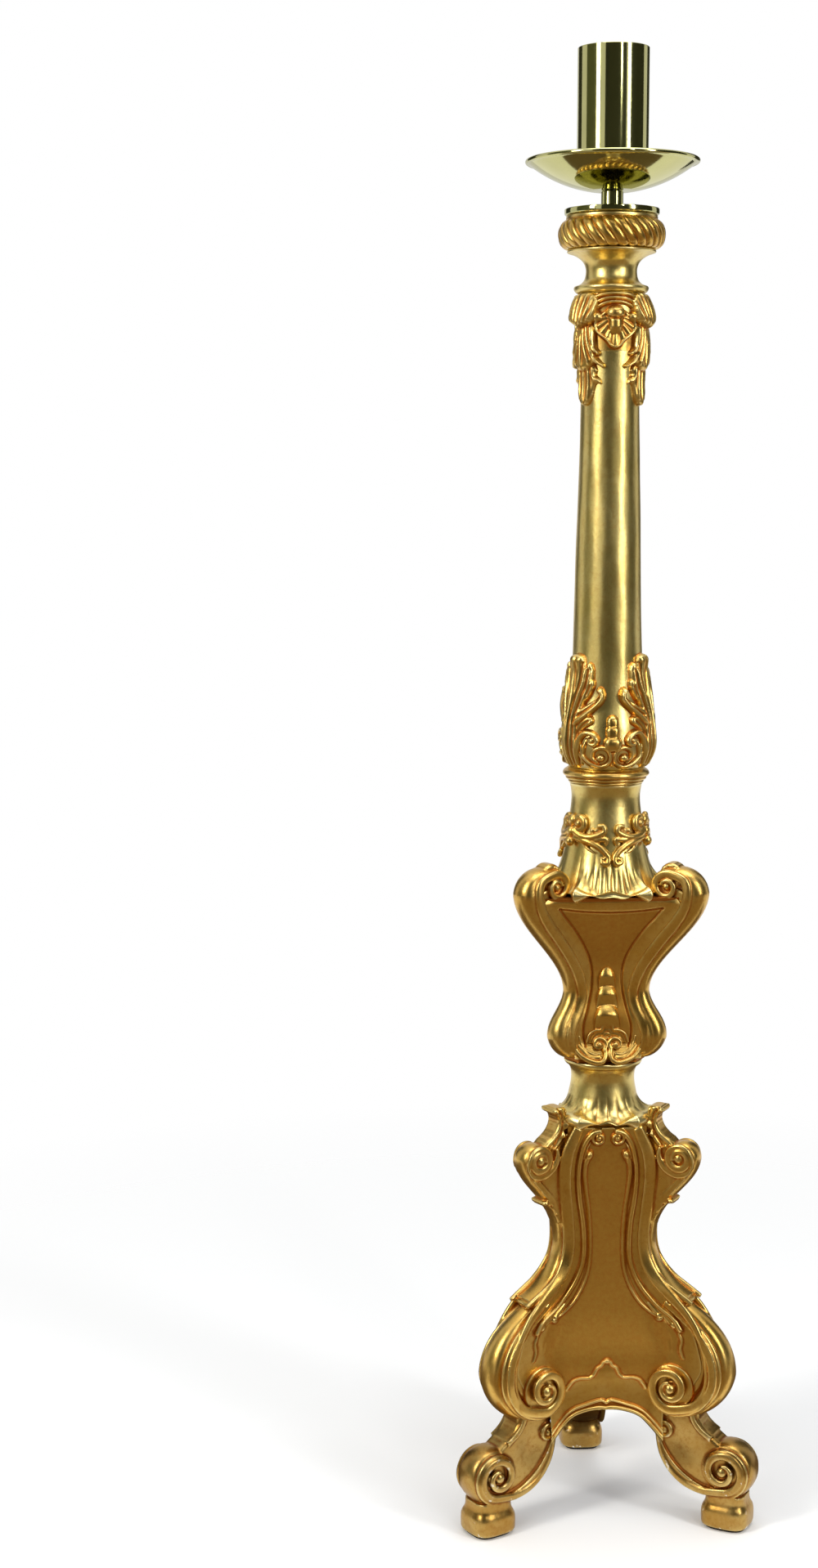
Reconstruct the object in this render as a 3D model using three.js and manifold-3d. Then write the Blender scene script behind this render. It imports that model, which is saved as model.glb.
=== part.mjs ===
// Giltwood torchere candle stand with a brass drip pan and candle cup.
// Millimetres, +Z up, front face towards -Y, standing on the floor at z = 0.
// The stand is three-sided: three corner scrolls, three feet and three panelled faces.
import * as THREE from 'three';
import { mergeVertices } from 'three/addons/utils/BufferGeometryUtils.js';
import Module from 'manifold-3d';

// ---------------------------------------------------------------- driving dimensions
const SIDES = 3;
const GAP = 0.3; // left between pieces that sit on each other

// tie rod that clamps the stack, with its nut and washer
const ROD_RADIUS = 5;
const ROD_CLEARANCE = 0.5;
const NUT_ACROSS = 17;
const NUT_HEIGHT = 8;
const WASHER_RADIUS = 13;
const WASHER_THICKNESS = 2.5;
const NUT_RECESS_RADIUS = 15;
const NUT_RECESS_DEPTH = 14;
const ROD_TAIL = 2; // rod below the nut

// felt pads and feet
const FELT_THICKNESS = 2;
const FELT_INSET = 2;
const FOOT_CENTRE_RADIUS = 115.4;
const FOOT_VOLUTE_HEIGHT = 55.5;
const FOOT_VOLUTE_SIZE = 21;
const FOOT_WIDTH = 32;
const FOOT_BLOCK_LENGTH = 37;
const FOOT_BLOCK_WIDTH = 34;
const FOOT_BLOCK_HEIGHT = 31;
const KNEE_CENTRE_RADIUS = 63.6;
const KNEE_CENTRE_HEIGHT = 77;
const KNEE_SIZE = 5.6;

// three-sided base
const BASE_BOTTOM = 97;
const BASE_HEIGHT = 239;
const BASE_PANEL_THICKNESS = 4.5;
const ARCH_TOP = 93;
const ARCH_DROP = 16;
const ARCH_HALF_SPAN = 40;
const BIG_VOLUTE_RADIUS = 69.5; // distance of its eye from the axis
const BIG_VOLUTE_RISE = 18.7; // above the base's underside
const BIG_VOLUTE_SIZE = 21.5;
const LOBE_REACH = 107;
const LOBE_WIDTH = 37;
const LOBE_CROWN = 9.5;
const BASE_WAIST_REACH = 43;
const BASE_WAIST_RISE = 139;
const BASE_STRAP_WIDTH = 22;
const SHOULDER_RADIUS = 71.5;
const SHOULDER_DROP = 26; // below the base's top
const SHOULDER_SIZE = 9.5;
const WEB_WIDTH = 19;

// lower neck
const LOWER_NECK_HEIGHT = 50;
const LOWER_NECK_RADIUS = 25.9;
const LOWER_SKIRT_RADIUS = 37;

// three-sided vase
const VASE_HEIGHT = 140.5;
const VASE_PANEL_THICKNESS = 3.2;
const VASE_VOLUTE_RADIUS = 58;
const VASE_VOLUTE_LIFT = 8.5; // its eye above the vase's top
const VASE_VOLUTE_SIZE = 8.6;
const VASE_SHOULDER_REACH = 76.7;
const VASE_WAIST_REACH = 30.4;
const VASE_WAIST_RISE = 60;
const VASE_BELLY_REACH = 43.5;
const VASE_BELLY_RISE = 24;
const VASE_STRAP_WIDTH = 24.4;
const VASE_WAIST_WIDTH = 18;
const VASE_CROWN = 9;
const VASE_FOOT_RADIUS = 32;

// middle neck and bead ring
const MIDDLE_NECK_HEIGHT = 89;
const MIDDLE_NECK_RADIUS = 27.8;
const MIDDLE_SKIRT_RADIUS = 46;
const SKIRT_FLUTES = 15;
const BEAD_RING_HEIGHT = 12.7;
const BEAD_RING_RADIUS = 34.6;

// column
const COLUMN_HEIGHT = 379.3;
const COLUMN_TOP_RADIUS = 23.6;
const COLUMN_FOOT_RADIUS = 28.3;
const BULB_RADIUS = 35;
const BULB_RISE = 24;
const BULB_TAPER = 68; // from the bulb's widest part up to the plain shaft
const COLUMN_FLARE = 70; // length under the top that widens again

// carving applied to the column and the vase
const CARVING_INSET = 2; // from the end of the column to the carving
const LOWER_LEAF_HEIGHT = 88;
const LOWER_HUSK_HEIGHT = 41;
const UPPER_LEAF_HEIGHT = 80;
const SHELL_DROP_HEIGHT = 49;

// collar, gadrooned ring and brass plate
const COLLAR_HEIGHT = 34.5;
const COLLAR_WAIST_RADIUS = 20.2;
const COLLAR_LIP_RADIUS = 35.5;
const ROPE_RING_HEIGHT = 26.3;
const ROPE_RING_RADIUS = 42.6;
const ROPE_RIDGES = 28;
const ROPE_DEPTH = 2.2;
const PLATE_RADIUS = 37.8;
const PLATE_THICKNESS = 5;
const STEM_RADIUS = 8.8;
const STEM_HEIGHT = 13.6;

// drip pan and candle cup
const PAN_RADIUS = 69.5;
const PAN_DEPTH = 25;
const PAN_WALL = 1.4;
const PAN_FLAT_RADIUS = 18;
const PAN_LIP = 1.9;
const CUP_WASHER_RADIUS = 15;
const CUP_WASHER_THICKNESS = 2;
const CUP_RADIUS = 28.4;
const CUP_WALL = 1.2;
const CUP_HEIGHT = 106.1;
const CUP_PLUG_THICKNESS = 12;
const THREAD_ENGAGEMENT = 9;

// ---------------------------------------------------------------- levels, stacked from the floor
const feltTop = FELT_THICKNESS;
const baseTop = BASE_BOTTOM + BASE_HEIGHT;
const lowerNeckBottom = baseTop + GAP;
const lowerNeckTop = lowerNeckBottom + LOWER_NECK_HEIGHT;
const vaseBottom = lowerNeckTop + GAP;
const vaseTop = vaseBottom + VASE_HEIGHT;
const middleNeckBottom = vaseTop + GAP;
const middleNeckTop = middleNeckBottom + MIDDLE_NECK_HEIGHT;
const beadRingBottom = middleNeckTop + GAP;
const columnBottom = beadRingBottom + BEAD_RING_HEIGHT + GAP;
const columnTop = columnBottom + COLUMN_HEIGHT;
const collarBottom = columnTop + GAP;
const ropeRingBottom = collarBottom + COLLAR_HEIGHT + GAP;
const plateBottom = ropeRingBottom + ROPE_RING_HEIGHT + GAP;
const stemBottom = plateBottom + PLATE_THICKNESS + GAP;
const panBottom = stemBottom + STEM_HEIGHT + GAP;
const cupWasherBottom = panBottom + PAN_WALL + GAP;
const cupBottom = cupWasherBottom + CUP_WASHER_THICKNESS + GAP;
const rodTop = cupBottom + THREAD_ENGAGEMENT;
const washerTop = BASE_BOTTOM + NUT_RECESS_DEPTH - GAP;
const nutTop = washerTop - WASHER_THICKNESS - GAP;
const rodBottom = nutTop - NUT_HEIGHT - ROD_TAIL;
const boreRadius = ROD_RADIUS + ROD_CLEARANCE;

// Angles about the axis: the front is -Y, faces look to it and 120 degrees either way.
const FRONT = -Math.PI / 2;
const THIRD = (2 * Math.PI) / SIDES;
const faceAngle = (k) => k * THIRD;
const cornerAngle = (k) => FRONT + THIRD / 2 + k * THIRD;

// ---------------------------------------------------------------- finishes
const gilt = new THREE.MeshStandardMaterial({ color: 0xc39a45, roughness: 0.38, metalness: 0.9 });
const matteGilt = new THREE.MeshStandardMaterial({ color: 0x9c7a36, roughness: 0.6, metalness: 0.6 });
const brass = new THREE.MeshStandardMaterial({ color: 0xc9b36a, roughness: 0.12, metalness: 1 });
const steel = new THREE.MeshStandardMaterial({ color: 0x7d7d80, roughness: 0.45, metalness: 0.9 });
const feltCloth = new THREE.MeshStandardMaterial({ color: 0x2a2622, roughness: 0.95, metalness: 0 });

// ---------------------------------------------------------------- geometry helpers
const wasm = await Module();
wasm.setup();

const range = (n) => Array.from({ length: n }, (_, i) => i);
const lerp = THREE.MathUtils.lerp;

// Turns a skin's faces outwards if they look in.
function faceOut(geometry) {
  const p = geometry.getAttribute('position');
  const index = geometry.index.array;
  const [a, b, c] = [new THREE.Vector3(), new THREE.Vector3(), new THREE.Vector3()];
  let volume = 0;
  for (let i = 0; i < index.length; i += 3) {
    a.fromBufferAttribute(p, index[i]);
    b.fromBufferAttribute(p, index[i + 1]);
    c.fromBufferAttribute(p, index[i + 2]);
    volume += a.dot(b.cross(c));
  }
  if (volume < 0) {
    for (let i = 0; i < index.length; i += 3) {
      [index[i + 1], index[i + 2]] = [index[i + 2], index[i + 1]];
    }
  }
  return geometry;
}

function skin(points, index) {
  const geometry = new THREE.BufferGeometry();
  geometry.setAttribute('position', new THREE.Float32BufferAttribute(points.flatMap((p) => [p.x, p.y, p.z]), 3));
  geometry.setIndex(index);
  return faceOut(geometry);
}

// Closed skin through rings of equal length, each convex, with flat ends.
function loft(rings) {
  const n = rings[0].length;
  const last = (rings.length - 1) * n;
  const index = [];
  for (let k = 0; k + 1 < rings.length; k += 1) {
    for (let i = 0; i < n; i += 1) {
      const a = k * n + i;
      const b = k * n + ((i + 1) % n);
      index.push(a, b, b + n, a, b + n, a + n);
    }
  }
  for (let i = 1; i + 1 < n; i += 1) {
    index.push(0, i + 1, i, last, last + i, last + i + 1);
  }
  return skin(rings.flat(), index);
}

// Ring-shaped skin: one closed (r, z) loop for each angle, joined all the way round.
function turnedRing(segments, loopAt) {
  const loops = range(segments).map((k) => loopAt((2 * Math.PI * k) / segments, k));
  const n = loops[0].length;
  const points = [];
  loops.forEach((loop, k) => {
    loop.forEach(([r, z, skew = 0]) => {
      const a = (2 * Math.PI * k) / segments + skew;
      points.push(new THREE.Vector3(r * Math.cos(a), r * Math.sin(a), z));
    });
  });
  const index = [];
  for (let k = 0; k < segments; k += 1) {
    const here = k * n;
    const next = ((k + 1) % segments) * n;
    for (let i = 0; i < n; i += 1) {
      const j = (i + 1) % n;
      index.push(here + i, next + i, next + j, here + i, next + j, here + j);
    }
  }
  return skin(points, index);
}

// Turned piece with the tie rod's bore: the outer profile runs from bottom to top.
const bored = (outer, bottom, top) => [[boreRadius, bottom], ...outer, [boreRadius, top]];
const turned = (segments, outer) =>
  turnedRing(segments, () => bored(outer, outer[0][1], outer[outer.length - 1][1]));

// Plate between a front and a back grid of points.
function plate(front, back) {
  const rows = front.length;
  const cols = front[0].length;
  const shift = rows * cols;
  const index = [];
  for (let j = 0; j + 1 < rows; j += 1) {
    for (let i = 0; i + 1 < cols; i += 1) {
      const a = j * cols + i;
      index.push(a, a + 1, a + cols + 1, a, a + cols + 1, a + cols);
      index.push(shift + a, shift + a + cols + 1, shift + a + 1);
      index.push(shift + a, shift + a + cols, shift + a + cols + 1);
    }
  }
  const border = [
    ...range(cols - 1),
    ...range(rows - 1).map((j) => j * cols + cols - 1),
    ...range(cols - 1).map((i) => (rows - 1) * cols + (cols - 1 - i)),
    ...range(rows - 1).map((j) => (rows - 1 - j) * cols),
  ];
  border.forEach((a, i) => {
    const b = border[(i + 1) % border.length];
    index.push(b, a, shift + a, b, shift + a, shift + b);
  });
  return skin([...front.flat(), ...back.flat()], index);
}

function solidOf(geometry) {
  const bare = new THREE.BufferGeometry();
  bare.setAttribute('position', geometry.getAttribute('position').clone());
  if (geometry.index) {
    bare.setIndex(geometry.index.clone());
  }
  const merged = mergeVertices(bare, 1e-4);
  const vertProperties = merged.getAttribute('position').array;
  const triVerts = new Uint32Array(merged.index.array);
  return new wasm.Manifold(new wasm.Mesh({ numProp: 3, vertProperties, triVerts }));
}

function geometryOf(solid) {
  const mesh = solid.getMesh();
  const geometry = new THREE.BufferGeometry();
  geometry.setAttribute('position', new THREE.BufferAttribute(mesh.vertProperties, 3));
  geometry.setIndex(new THREE.BufferAttribute(mesh.triVerts, 1));
  return geometry;
}

const join = (parts) => geometryOf(parts.map(solidOf).reduce((whole, part) => whole.add(part)));
const cut = (body, tools) => geometryOf(tools.map(solidOf).reduce((rest, tool) => rest.subtract(tool), solidOf(body)));

// Value of a profile of [z, value] rows at z, straight between the rows.
function valueAt(profile, z) {
  const k = profile.findIndex((row) => row[0] >= z);
  if (k <= 0) {
    return k === 0 ? profile[0][1] : profile[profile.length - 1][1];
  }
  const [z0, v0] = profile[k - 1];
  const [z1, v1] = profile[k];
  return lerp(v0, v1, (z - z0) / (z1 - z0));
}

// ---------------------------------------------------------------- scroll straps
// A scroll lies in the (r, z) plane of its corner. Each station of its strap has a
// place, a half thickness, a width across and the height of its rounded outer crown.
const station = (r, z, form) => ({ r, z, ...form });
const form = (half, width, crown) => ({ half, width, crown });

function mixForms(a, b, f) {
  return form(lerp(a.half, b.half, f), lerp(a.width, b.width, f), lerp(a.crown, b.crown, f));
}

function bezierRun(ends, steps, from, to) {
  const [p0, p1, p2, p3] = ends.map(([r, z]) => new THREE.Vector2(r, z));
  const points = new THREE.CubicBezierCurve(p0, p1, p2, p3).getPoints(steps);
  return points.map((p, i) => station(p.x, p.y, mixForms(from, to, i / steps)));
}

function spiralRun(centre, start, sense, outer, inner, turns, steps, from, to) {
  return range(steps + 1).map((i) => {
    const f = i / steps;
    const angle = start + sense * f * turns * 2 * Math.PI;
    const size = lerp(outer, inner, f);
    return station(centre.r + size * Math.cos(angle), centre.z + size * Math.sin(angle), mixForms(from, to, f));
  });
}

const chain = (...runs) => runs.reduce((path, run) => [...path, ...run.slice(path.length ? 1 : 0)], []);

// outside is +1 where the crown lies to the left of the way along the path, or -1.
function strap(path, outside, grow = 0) {
  const rings = path.map((s, i) => {
    const before = path[Math.max(i - 1, 0)];
    const after = path[Math.min(i + 1, path.length - 1)];
    const along = new THREE.Vector2(after.r - before.r, after.z - before.z).normalize();
    const out = new THREE.Vector2(-along.y, along.x).multiplyScalar(outside);
    const half = s.half + grow;
    const side = s.width / 2 + grow;
    const section = [
      [-half, -side],
      [-half, side],
      [half, side],
      [half + s.crown, 0.5 * side],
      [half + s.crown, -0.5 * side],
      [half, -side],
    ];
    return section.map(([lift, across]) =>
      new THREE.Vector3(s.r + out.x * lift, across, s.z + out.y * lift));
  });
  return loft(rings);
}

// Flat slab of a closed (r, z) outline, centred on the corner's plane.
function slab(outline, width) {
  const shape = new THREE.Shape(outline.map(([r, z]) => new THREE.Vector2(r, z)));
  return new THREE.ExtrudeGeometry(shape, { depth: width, bevelEnabled: false })
    .translate(0, 0, -width / 2)
    .rotateX(Math.PI / 2);
}

const disc = (centre, radius, width) =>
  new THREE.CylinderGeometry(radius, radius, width, 12).translate(centre.r, 0, centre.z);

// Rounded button at a volute's eye, through its whole width.
const eye = (centre, radius, width) =>
  new THREE.SphereGeometry(radius, 8, 4).scale(1, width / 2 / radius, 1).translate(centre.r, 0, centre.z);

const outlineOf = (path) => path.map((s) => [s.r, s.z]);

// ---------------------------------------------------------------- three-sided bodies
// Section of a three-sided body: faces at a distance from the axis, corners cut off.
function triangleRing(z, faceDistance, cornerReach) {
  const half = (2 * faceDistance - cornerReach) * Math.tan(Math.PI / 6);
  return range(SIDES).flatMap((k) => {
    const a = cornerAngle(k);
    const across = new THREE.Vector3(-Math.sin(a), Math.cos(a), 0);
    const corner = new THREE.Vector3(cornerReach * Math.cos(a), cornerReach * Math.sin(a), z);
    return [corner.clone().addScaledVector(across, -half), corner.clone().addScaledVector(across, half)];
  });
}

// rows are [z, distance of the faces]; the corner flats are as wide as the web on them.
function triangularCore(rows, webWidth, grow = 0) {
  const rings = rows.map(([z, distance], i) => {
    const end = (i === rows.length - 1 ? 1 : 0) - (i === 0 ? 1 : 0);
    const face = distance + grow;
    return triangleRing(z + end * grow, face, 2 * face - (webWidth / 2 + grow) / Math.tan(Math.PI / 6));
  });
  return loft(rings);
}

const bore = (bottom, top) =>
  new THREE.CylinderGeometry(boreRadius, boreRadius, top - bottom, 16)
    .rotateX(Math.PI / 2)
    .translate(0, 0, (top + bottom) / 2);

// Panel between two corner scrolls: rows are [z, distance of its back from the axis].
// Its edges stay clear of the scrolls, which are sideAt(z) thick to each side; the
// columns run across it from edge to edge and relief lifts its front.
function facePanel(rows, thickness, sideAt, columnsAt, relief) {
  const edge = (z, distance) => 2 * (distance * Math.cos(Math.PI / 6) - sideAt(z) - GAP);
  const grid = (lift, raised) => rows.map(([z, distance]) => {
    const half = edge(z, distance + lift);
    return columnsAt(z, half).map((x, i) =>
      new THREE.Vector3(x, -(distance + lift + (raised ? relief(z, i) : 0)), z));
  });
  return plate(grid(GAP + thickness, true), grid(GAP, false));
}

const turnedTo = (geometry, angle) => geometry.clone().rotateZ(angle);

// ---------------------------------------------------------------- base
const bigVolute = { r: BIG_VOLUTE_RADIUS, z: BASE_BOTTOM + BIG_VOLUTE_RISE };
const shoulder = { r: SHOULDER_RADIUS, z: baseTop - SHOULDER_DROP };
const baseWaist = { r: BASE_WAIST_REACH, z: BASE_BOTTOM + BASE_WAIST_RISE };

// Distance of the core's faces from the axis, from its underside up.
const baseCoreRows = [
  [BASE_BOTTOM, 34.5],
  [BASE_BOTTOM + 28, 35],
  [BASE_BOTTOM + 39, 38],
  [BASE_BOTTOM + 47, 36.8],
  [bigVolute.z + 2 * BIG_VOLUTE_SIZE, 33],
  [lerp(bigVolute.z + 2 * BIG_VOLUTE_SIZE, baseWaist.z, 0.25), 29.4],
  [lerp(bigVolute.z + 2 * BIG_VOLUTE_SIZE, baseWaist.z, 0.6), 26.5],
  [baseWaist.z, 25.6],
  [baseTop - 50, 27],
  [baseTop - 11, 29.5],
  [baseTop, 30],
];

const baseCore = () => cut(triangularCore(baseCoreRows, WEB_WIDTH), [
  bore(BASE_BOTTOM - 1, baseTop + 1),
  new THREE.CylinderGeometry(NUT_RECESS_RADIUS, NUT_RECESS_RADIUS, NUT_RECESS_DEPTH + 1, 16)
    .rotateX(Math.PI / 2)
    .translate(0, 0, BASE_BOTTOM + (NUT_RECESS_DEPTH - 1) / 2),
]);

const SHOULDER_STEPS = 7; // stations of the shoulder volute
const LOBE_STEPS = 8; // stations from the lobe's top to the start of the big volute
const lobeStart = { r: 70, z: bigVolute.z + 64 };
const lobeOut = { r: LOBE_REACH, z: bigVolute.z + 15.5 };
const strapEnd = { r: lobeStart.r + 8, z: lobeStart.z + 8.5 };

// Upper strap: shoulder volute, in to the waist and out again to the top of the lobe.
function shoulderPath() {
  const curl = form(2, BASE_STRAP_WIDTH, 0.5);
  const broad = form(2.6, BASE_STRAP_WIDTH, 3.5);
  const slim = form(2.6, BASE_STRAP_WIDTH - 2, 3);
  const start = { r: shoulder.r + SHOULDER_SIZE, z: shoulder.z };
  const spiral = spiralRun(shoulder, 0, 1, SHOULDER_SIZE, 4, 1, SHOULDER_STEPS, broad, curl).reverse();
  const fall = bezierRun([
    [start.r, start.z],
    [start.r, start.z - 22],
    [baseWaist.r, baseWaist.z + 38],
    [baseWaist.r, baseWaist.z],
  ], 5, broad, slim);
  const flare = bezierRun([
    [baseWaist.r, baseWaist.z],
    [baseWaist.r, baseWaist.z - 22],
    [strapEnd.r - 20, strapEnd.z + 9],
    [strapEnd.r, strapEnd.z],
  ], 4, slim, form(2.6, BASE_STRAP_WIDTH + 4, 2.4));
  return chain(spiral, fall, flare);
}

// Lower strap: the broad lobe, round below and up into the big volute.
function lobePath() {
  const start = form(2.6, LOBE_WIDTH - 10, 4);
  const wide = form(3.5, LOBE_WIDTH, LOBE_CROWN);
  const under = form(3.2, LOBE_WIDTH - 1, 2);
  const top = bezierRun([
    [lobeStart.r, lobeStart.z],
    [lobeStart.r + 18.7, lobeStart.z - 11],
    [lobeOut.r, lobeOut.z + 26],
    [lobeOut.r, lobeOut.z],
  ], 4, start, wide);
  const turn = bezierRun([
    [lobeOut.r, lobeOut.z],
    [lobeOut.r, lobeOut.z - 20],
    [bigVolute.r + 20, bigVolute.z - BIG_VOLUTE_SIZE],
    [bigVolute.r, bigVolute.z - BIG_VOLUTE_SIZE],
  ], 4, wide, under);
  const spiral = spiralRun(
    bigVolute, FRONT, -1, BIG_VOLUTE_SIZE, 8, 1.25, 9, under, form(2, LOBE_WIDTH - 2, 0.3),
  );
  return chain(top, turn, spiral);
}

// Corner scroll in its own plane, before the core's space is cut out of it.
function cornerScrollBody(grow = 0) {
  const upper = shoulderPath();
  const lower = lobePath();
  const inner = 20; // well inside the core, which trims it
  const upperWeb = [
    ...outlineOf(upper.slice(SHOULDER_STEPS)),
    [inner, strapEnd.z - 4],
    [inner, baseTop - 9],
    [shoulder.r - 22, baseTop - 2],
    [shoulder.r - 15.5, baseTop],
    [shoulder.r - 23, baseTop + 9],
    [shoulder.r - 21.5, baseTop + 14],
    [shoulder.r - 9.5, baseTop + 15.7],
    [shoulder.r - 3.5, baseTop + 15],
    [shoulder.r - 5.5, baseTop],
    [shoulder.r, shoulder.z + SHOULDER_SIZE],
  ];
  const lowerWeb = [
    ...outlineOf(lower.slice(0, LOBE_STEPS)),
    [bigVolute.r - 12, bigVolute.z - BIG_VOLUTE_SIZE + 8],
    [inner, BASE_BOTTOM + 8],
    [inner, strapEnd.z + 12],
    [lobeStart.r - 8, strapEnd.z + 6],
    [strapEnd.r - 4, strapEnd.z],
  ];
  const leafEnd = [
    [shoulder.r + 4, shoulder.z - 3],
    [shoulder.r + 11.5, shoulder.z - 8],
    [shoulder.r + 8, shoulder.z - 20],
    [shoulder.r + 8, shoulder.z - 35],
    [shoulder.r - 1, shoulder.z - 40],
    [shoulder.r - 16, shoulder.z - 46],
    [shoulder.r - 14, shoulder.z - 20],
  ];
  const webWidth = WEB_WIDTH + 2 * grow;
  return join([
    strap(upper, 1, grow),
    strap(lower, 1, grow),
    slab(upperWeb, webWidth),
    slab(lowerWeb, webWidth),
    slab(leafEnd, webWidth - 1),
    disc(shoulder, SHOULDER_SIZE + grow, BASE_STRAP_WIDTH - 4 + 2 * grow),
    disc(bigVolute, BIG_VOLUTE_SIZE - 2, LOBE_WIDTH - 10 + 2 * grow),
    eye(shoulder, 3.6, BASE_STRAP_WIDTH + 2 + 2 * grow),
    eye(bigVolute, 6, LOBE_WIDTH + 1 + 2 * grow),
  ]);
}

const cornerScroll = () => cut(cornerScrollBody(), [
  turnedTo(triangularCore(baseCoreRows, WEB_WIDTH, GAP), -cornerAngle(0)),
]);

// Lower edge of a face's apron: an arch between two feet.
const archAt = (x) => ARCH_TOP - ARCH_DROP * (1 - Math.sqrt(1 - (x / ARCH_HALF_SPAN) ** 2));

// Place of the two mouldings that run down a face and spread to leaf tips.
const mouldingRows = [
  [BASE_BOTTOM, 22],
  [bigVolute.z + 22, 42],
  [bigVolute.z + 38, 46],
  [baseWaist.z - 68, 36],
  [baseWaist.z - 42, 25],
  [baseWaist.z, 19.5],
  [baseTop - 60, 20],
  [baseTop - 24, 14],
  [baseTop - 4, 8],
];

// Panel of one face: its mouldings stand proud, its apron is arched below.
function basePanel() {
  const volutesTop = bigVolute.z + BIG_VOLUTE_SIZE + 1;
  const shoulderRow = [volutesTop + 1, valueAt(baseCoreRows, volutesTop + 1)];
  const rows = [
    [BASE_BOTTOM - 12, 34.5],
    ...baseCoreRows.slice(0, 3),
    shoulderRow,
    ...baseCoreRows.slice(3, -1),
    [baseTop - 2, 30],
  ];
  const sideAt = (z) => (z > volutesTop ? BASE_STRAP_WIDTH : LOBE_WIDTH) / 2;
  const columnsAt = (z, half) => {
    const at = Math.min(valueAt(mouldingRows, z), half - 4);
    return [-half, -at - 3, -at, -at + 3, at - 3, at, at + 3, half];
  };
  const relief = (z, i) => (z > volutesTop && [2, 5].includes(i) ? 2.6 : 0);
  const panel = facePanel(rows, BASE_PANEL_THICKNESS, sideAt, columnsAt, relief);
  const p = panel.getAttribute('position');
  range(p.count).filter((i) => p.getZ(i) < BASE_BOTTOM - 1).forEach((i) => p.setZ(i, archAt(p.getX(i))));
  return panel;
}

// ---------------------------------------------------------------- feet
const footVolute = { r: FOOT_CENTRE_RADIUS, z: FOOT_VOLUTE_HEIGHT };
const knee = { r: KNEE_CENTRE_RADIUS, z: KNEE_CENTRE_HEIGHT };

const KNEE_STEPS = 5; // stations of the small volute
const SHIN_STEPS = 6; // stations from it to the foot's volute

// Strap of a foot: small volute under the base, down the inside, round the foot's volute.
function footPath() {
  const small = form(1.6, 0.81 * FOOT_WIDTH, 0.5);
  const slim = form(2.2, 0.88 * FOOT_WIDTH, 1);
  const broad = form(2.8, FOOT_WIDTH, 2.5);
  const full = form(2.8, FOOT_WIDTH, 5);
  const curl = spiralRun(knee, Math.PI, -1, KNEE_SIZE, 0.46 * KNEE_SIZE, 0.75, KNEE_STEPS, slim, small).reverse();
  const shin = bezierRun([
    [knee.r - KNEE_SIZE, knee.z],
    [knee.r - KNEE_SIZE, footVolute.z],
    [footVolute.r - 1.5 * FOOT_VOLUTE_SIZE, footVolute.z - FOOT_VOLUTE_SIZE],
    [footVolute.r, footVolute.z - FOOT_VOLUTE_SIZE],
  ], SHIN_STEPS, slim, broad);
  const halfway = 0.72 * FOOT_VOLUTE_SIZE;
  const outer = spiralRun(footVolute, FRONT, 1, FOOT_VOLUTE_SIZE, halfway, 0.5, 5, broad, full);
  const last = form(2, FOOT_WIDTH - 2, 0.3);
  const inner = spiralRun(footVolute, -FRONT, 1, halfway, FOOT_VOLUTE_SIZE / 3, 0.8, 6, full, last);
  return chain(curl, shin, outer, inner);
}

const superRound = (halfX, halfY, z, centreX) => range(12).map((i) => {
  const a = (2 * Math.PI * (i + 0.5)) / 12;
  const power = (v) => Math.sign(v) * Math.abs(v) ** 0.55;
  return new THREE.Vector3(centreX + halfX * power(Math.cos(a)), halfY * power(Math.sin(a)), z);
});

function footBlock() {
  const bottom = feltTop + GAP;
  const rows = [[0, 0.96], [0.1, 1], [0.68, 1], [1, 0.8]];
  const rings = rows.map(([height, scale]) => {
    const z = lerp(bottom, FOOT_BLOCK_HEIGHT, height);
    return superRound((FOOT_BLOCK_LENGTH / 2) * scale, (FOOT_BLOCK_WIDTH / 2) * scale, z, footVolute.r);
  });
  return loft(rings);
}

function scrollFootBody(grow = 0) {
  const path = footPath();
  const topOfFoot = BASE_BOTTOM + 1;
  const size = FOOT_VOLUTE_SIZE;
  const web = [
    ...outlineOf(path.slice(KNEE_STEPS, KNEE_STEPS + SHIN_STEPS + 1)),
    [footVolute.r + 0.4 * size, footVolute.z - 0.5 * size],
    [footVolute.r, footVolute.z + 0.65 * size],
    [footVolute.r - 0.6 * size, footVolute.z + 0.8 * size],
    [footVolute.r - 0.95 * size, knee.z + 0.9 * KNEE_SIZE],
    [footVolute.r - 1.15 * size, topOfFoot],
    [knee.r - 0.7 * KNEE_SIZE, topOfFoot],
    [knee.r - KNEE_SIZE, knee.z + KNEE_SIZE],
  ];
  const backEdge = [
    [footVolute.r - 1.48 * size, topOfFoot],
    [footVolute.r - 1.1 * size, topOfFoot],
    [footVolute.r - 0.86 * size, knee.z + 1.1 * KNEE_SIZE],
    [footVolute.r - 0.48 * size, footVolute.z + 0.86 * size],
    [footVolute.r - 0.71 * size, footVolute.z + 0.57 * size],
    [footVolute.r - 1.14 * size, knee.z - 0.2 * KNEE_SIZE],
    [footVolute.r - 1.38 * size, knee.z + 1.6 * KNEE_SIZE],
  ];
  return join([
    strap(path, -1, grow),
    slab(web, 0.62 * FOOT_WIDTH + 2 * grow),
    slab(backEdge, 0.88 * FOOT_WIDTH + 2 * grow),
    disc(footVolute, 0.76 * size, 0.75 * FOOT_WIDTH + 2 * grow),
    eye(footVolute, 0.26 * size, FOOT_WIDTH + 1 + 2 * grow),
    footBlock(),
  ]);
}

const scrollFoot = () => cut(scrollFootBody(), [
  cornerScrollBody(GAP),
  turnedTo(triangularCore(baseCoreRows, WEB_WIDTH, GAP), -cornerAngle(0)),
]);

const feltPad = () => loft([0, feltTop].map((z) =>
  superRound(FOOT_BLOCK_LENGTH / 2 - FELT_INSET, FOOT_BLOCK_WIDTH / 2 - FELT_INSET, z, footVolute.r)));

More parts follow.
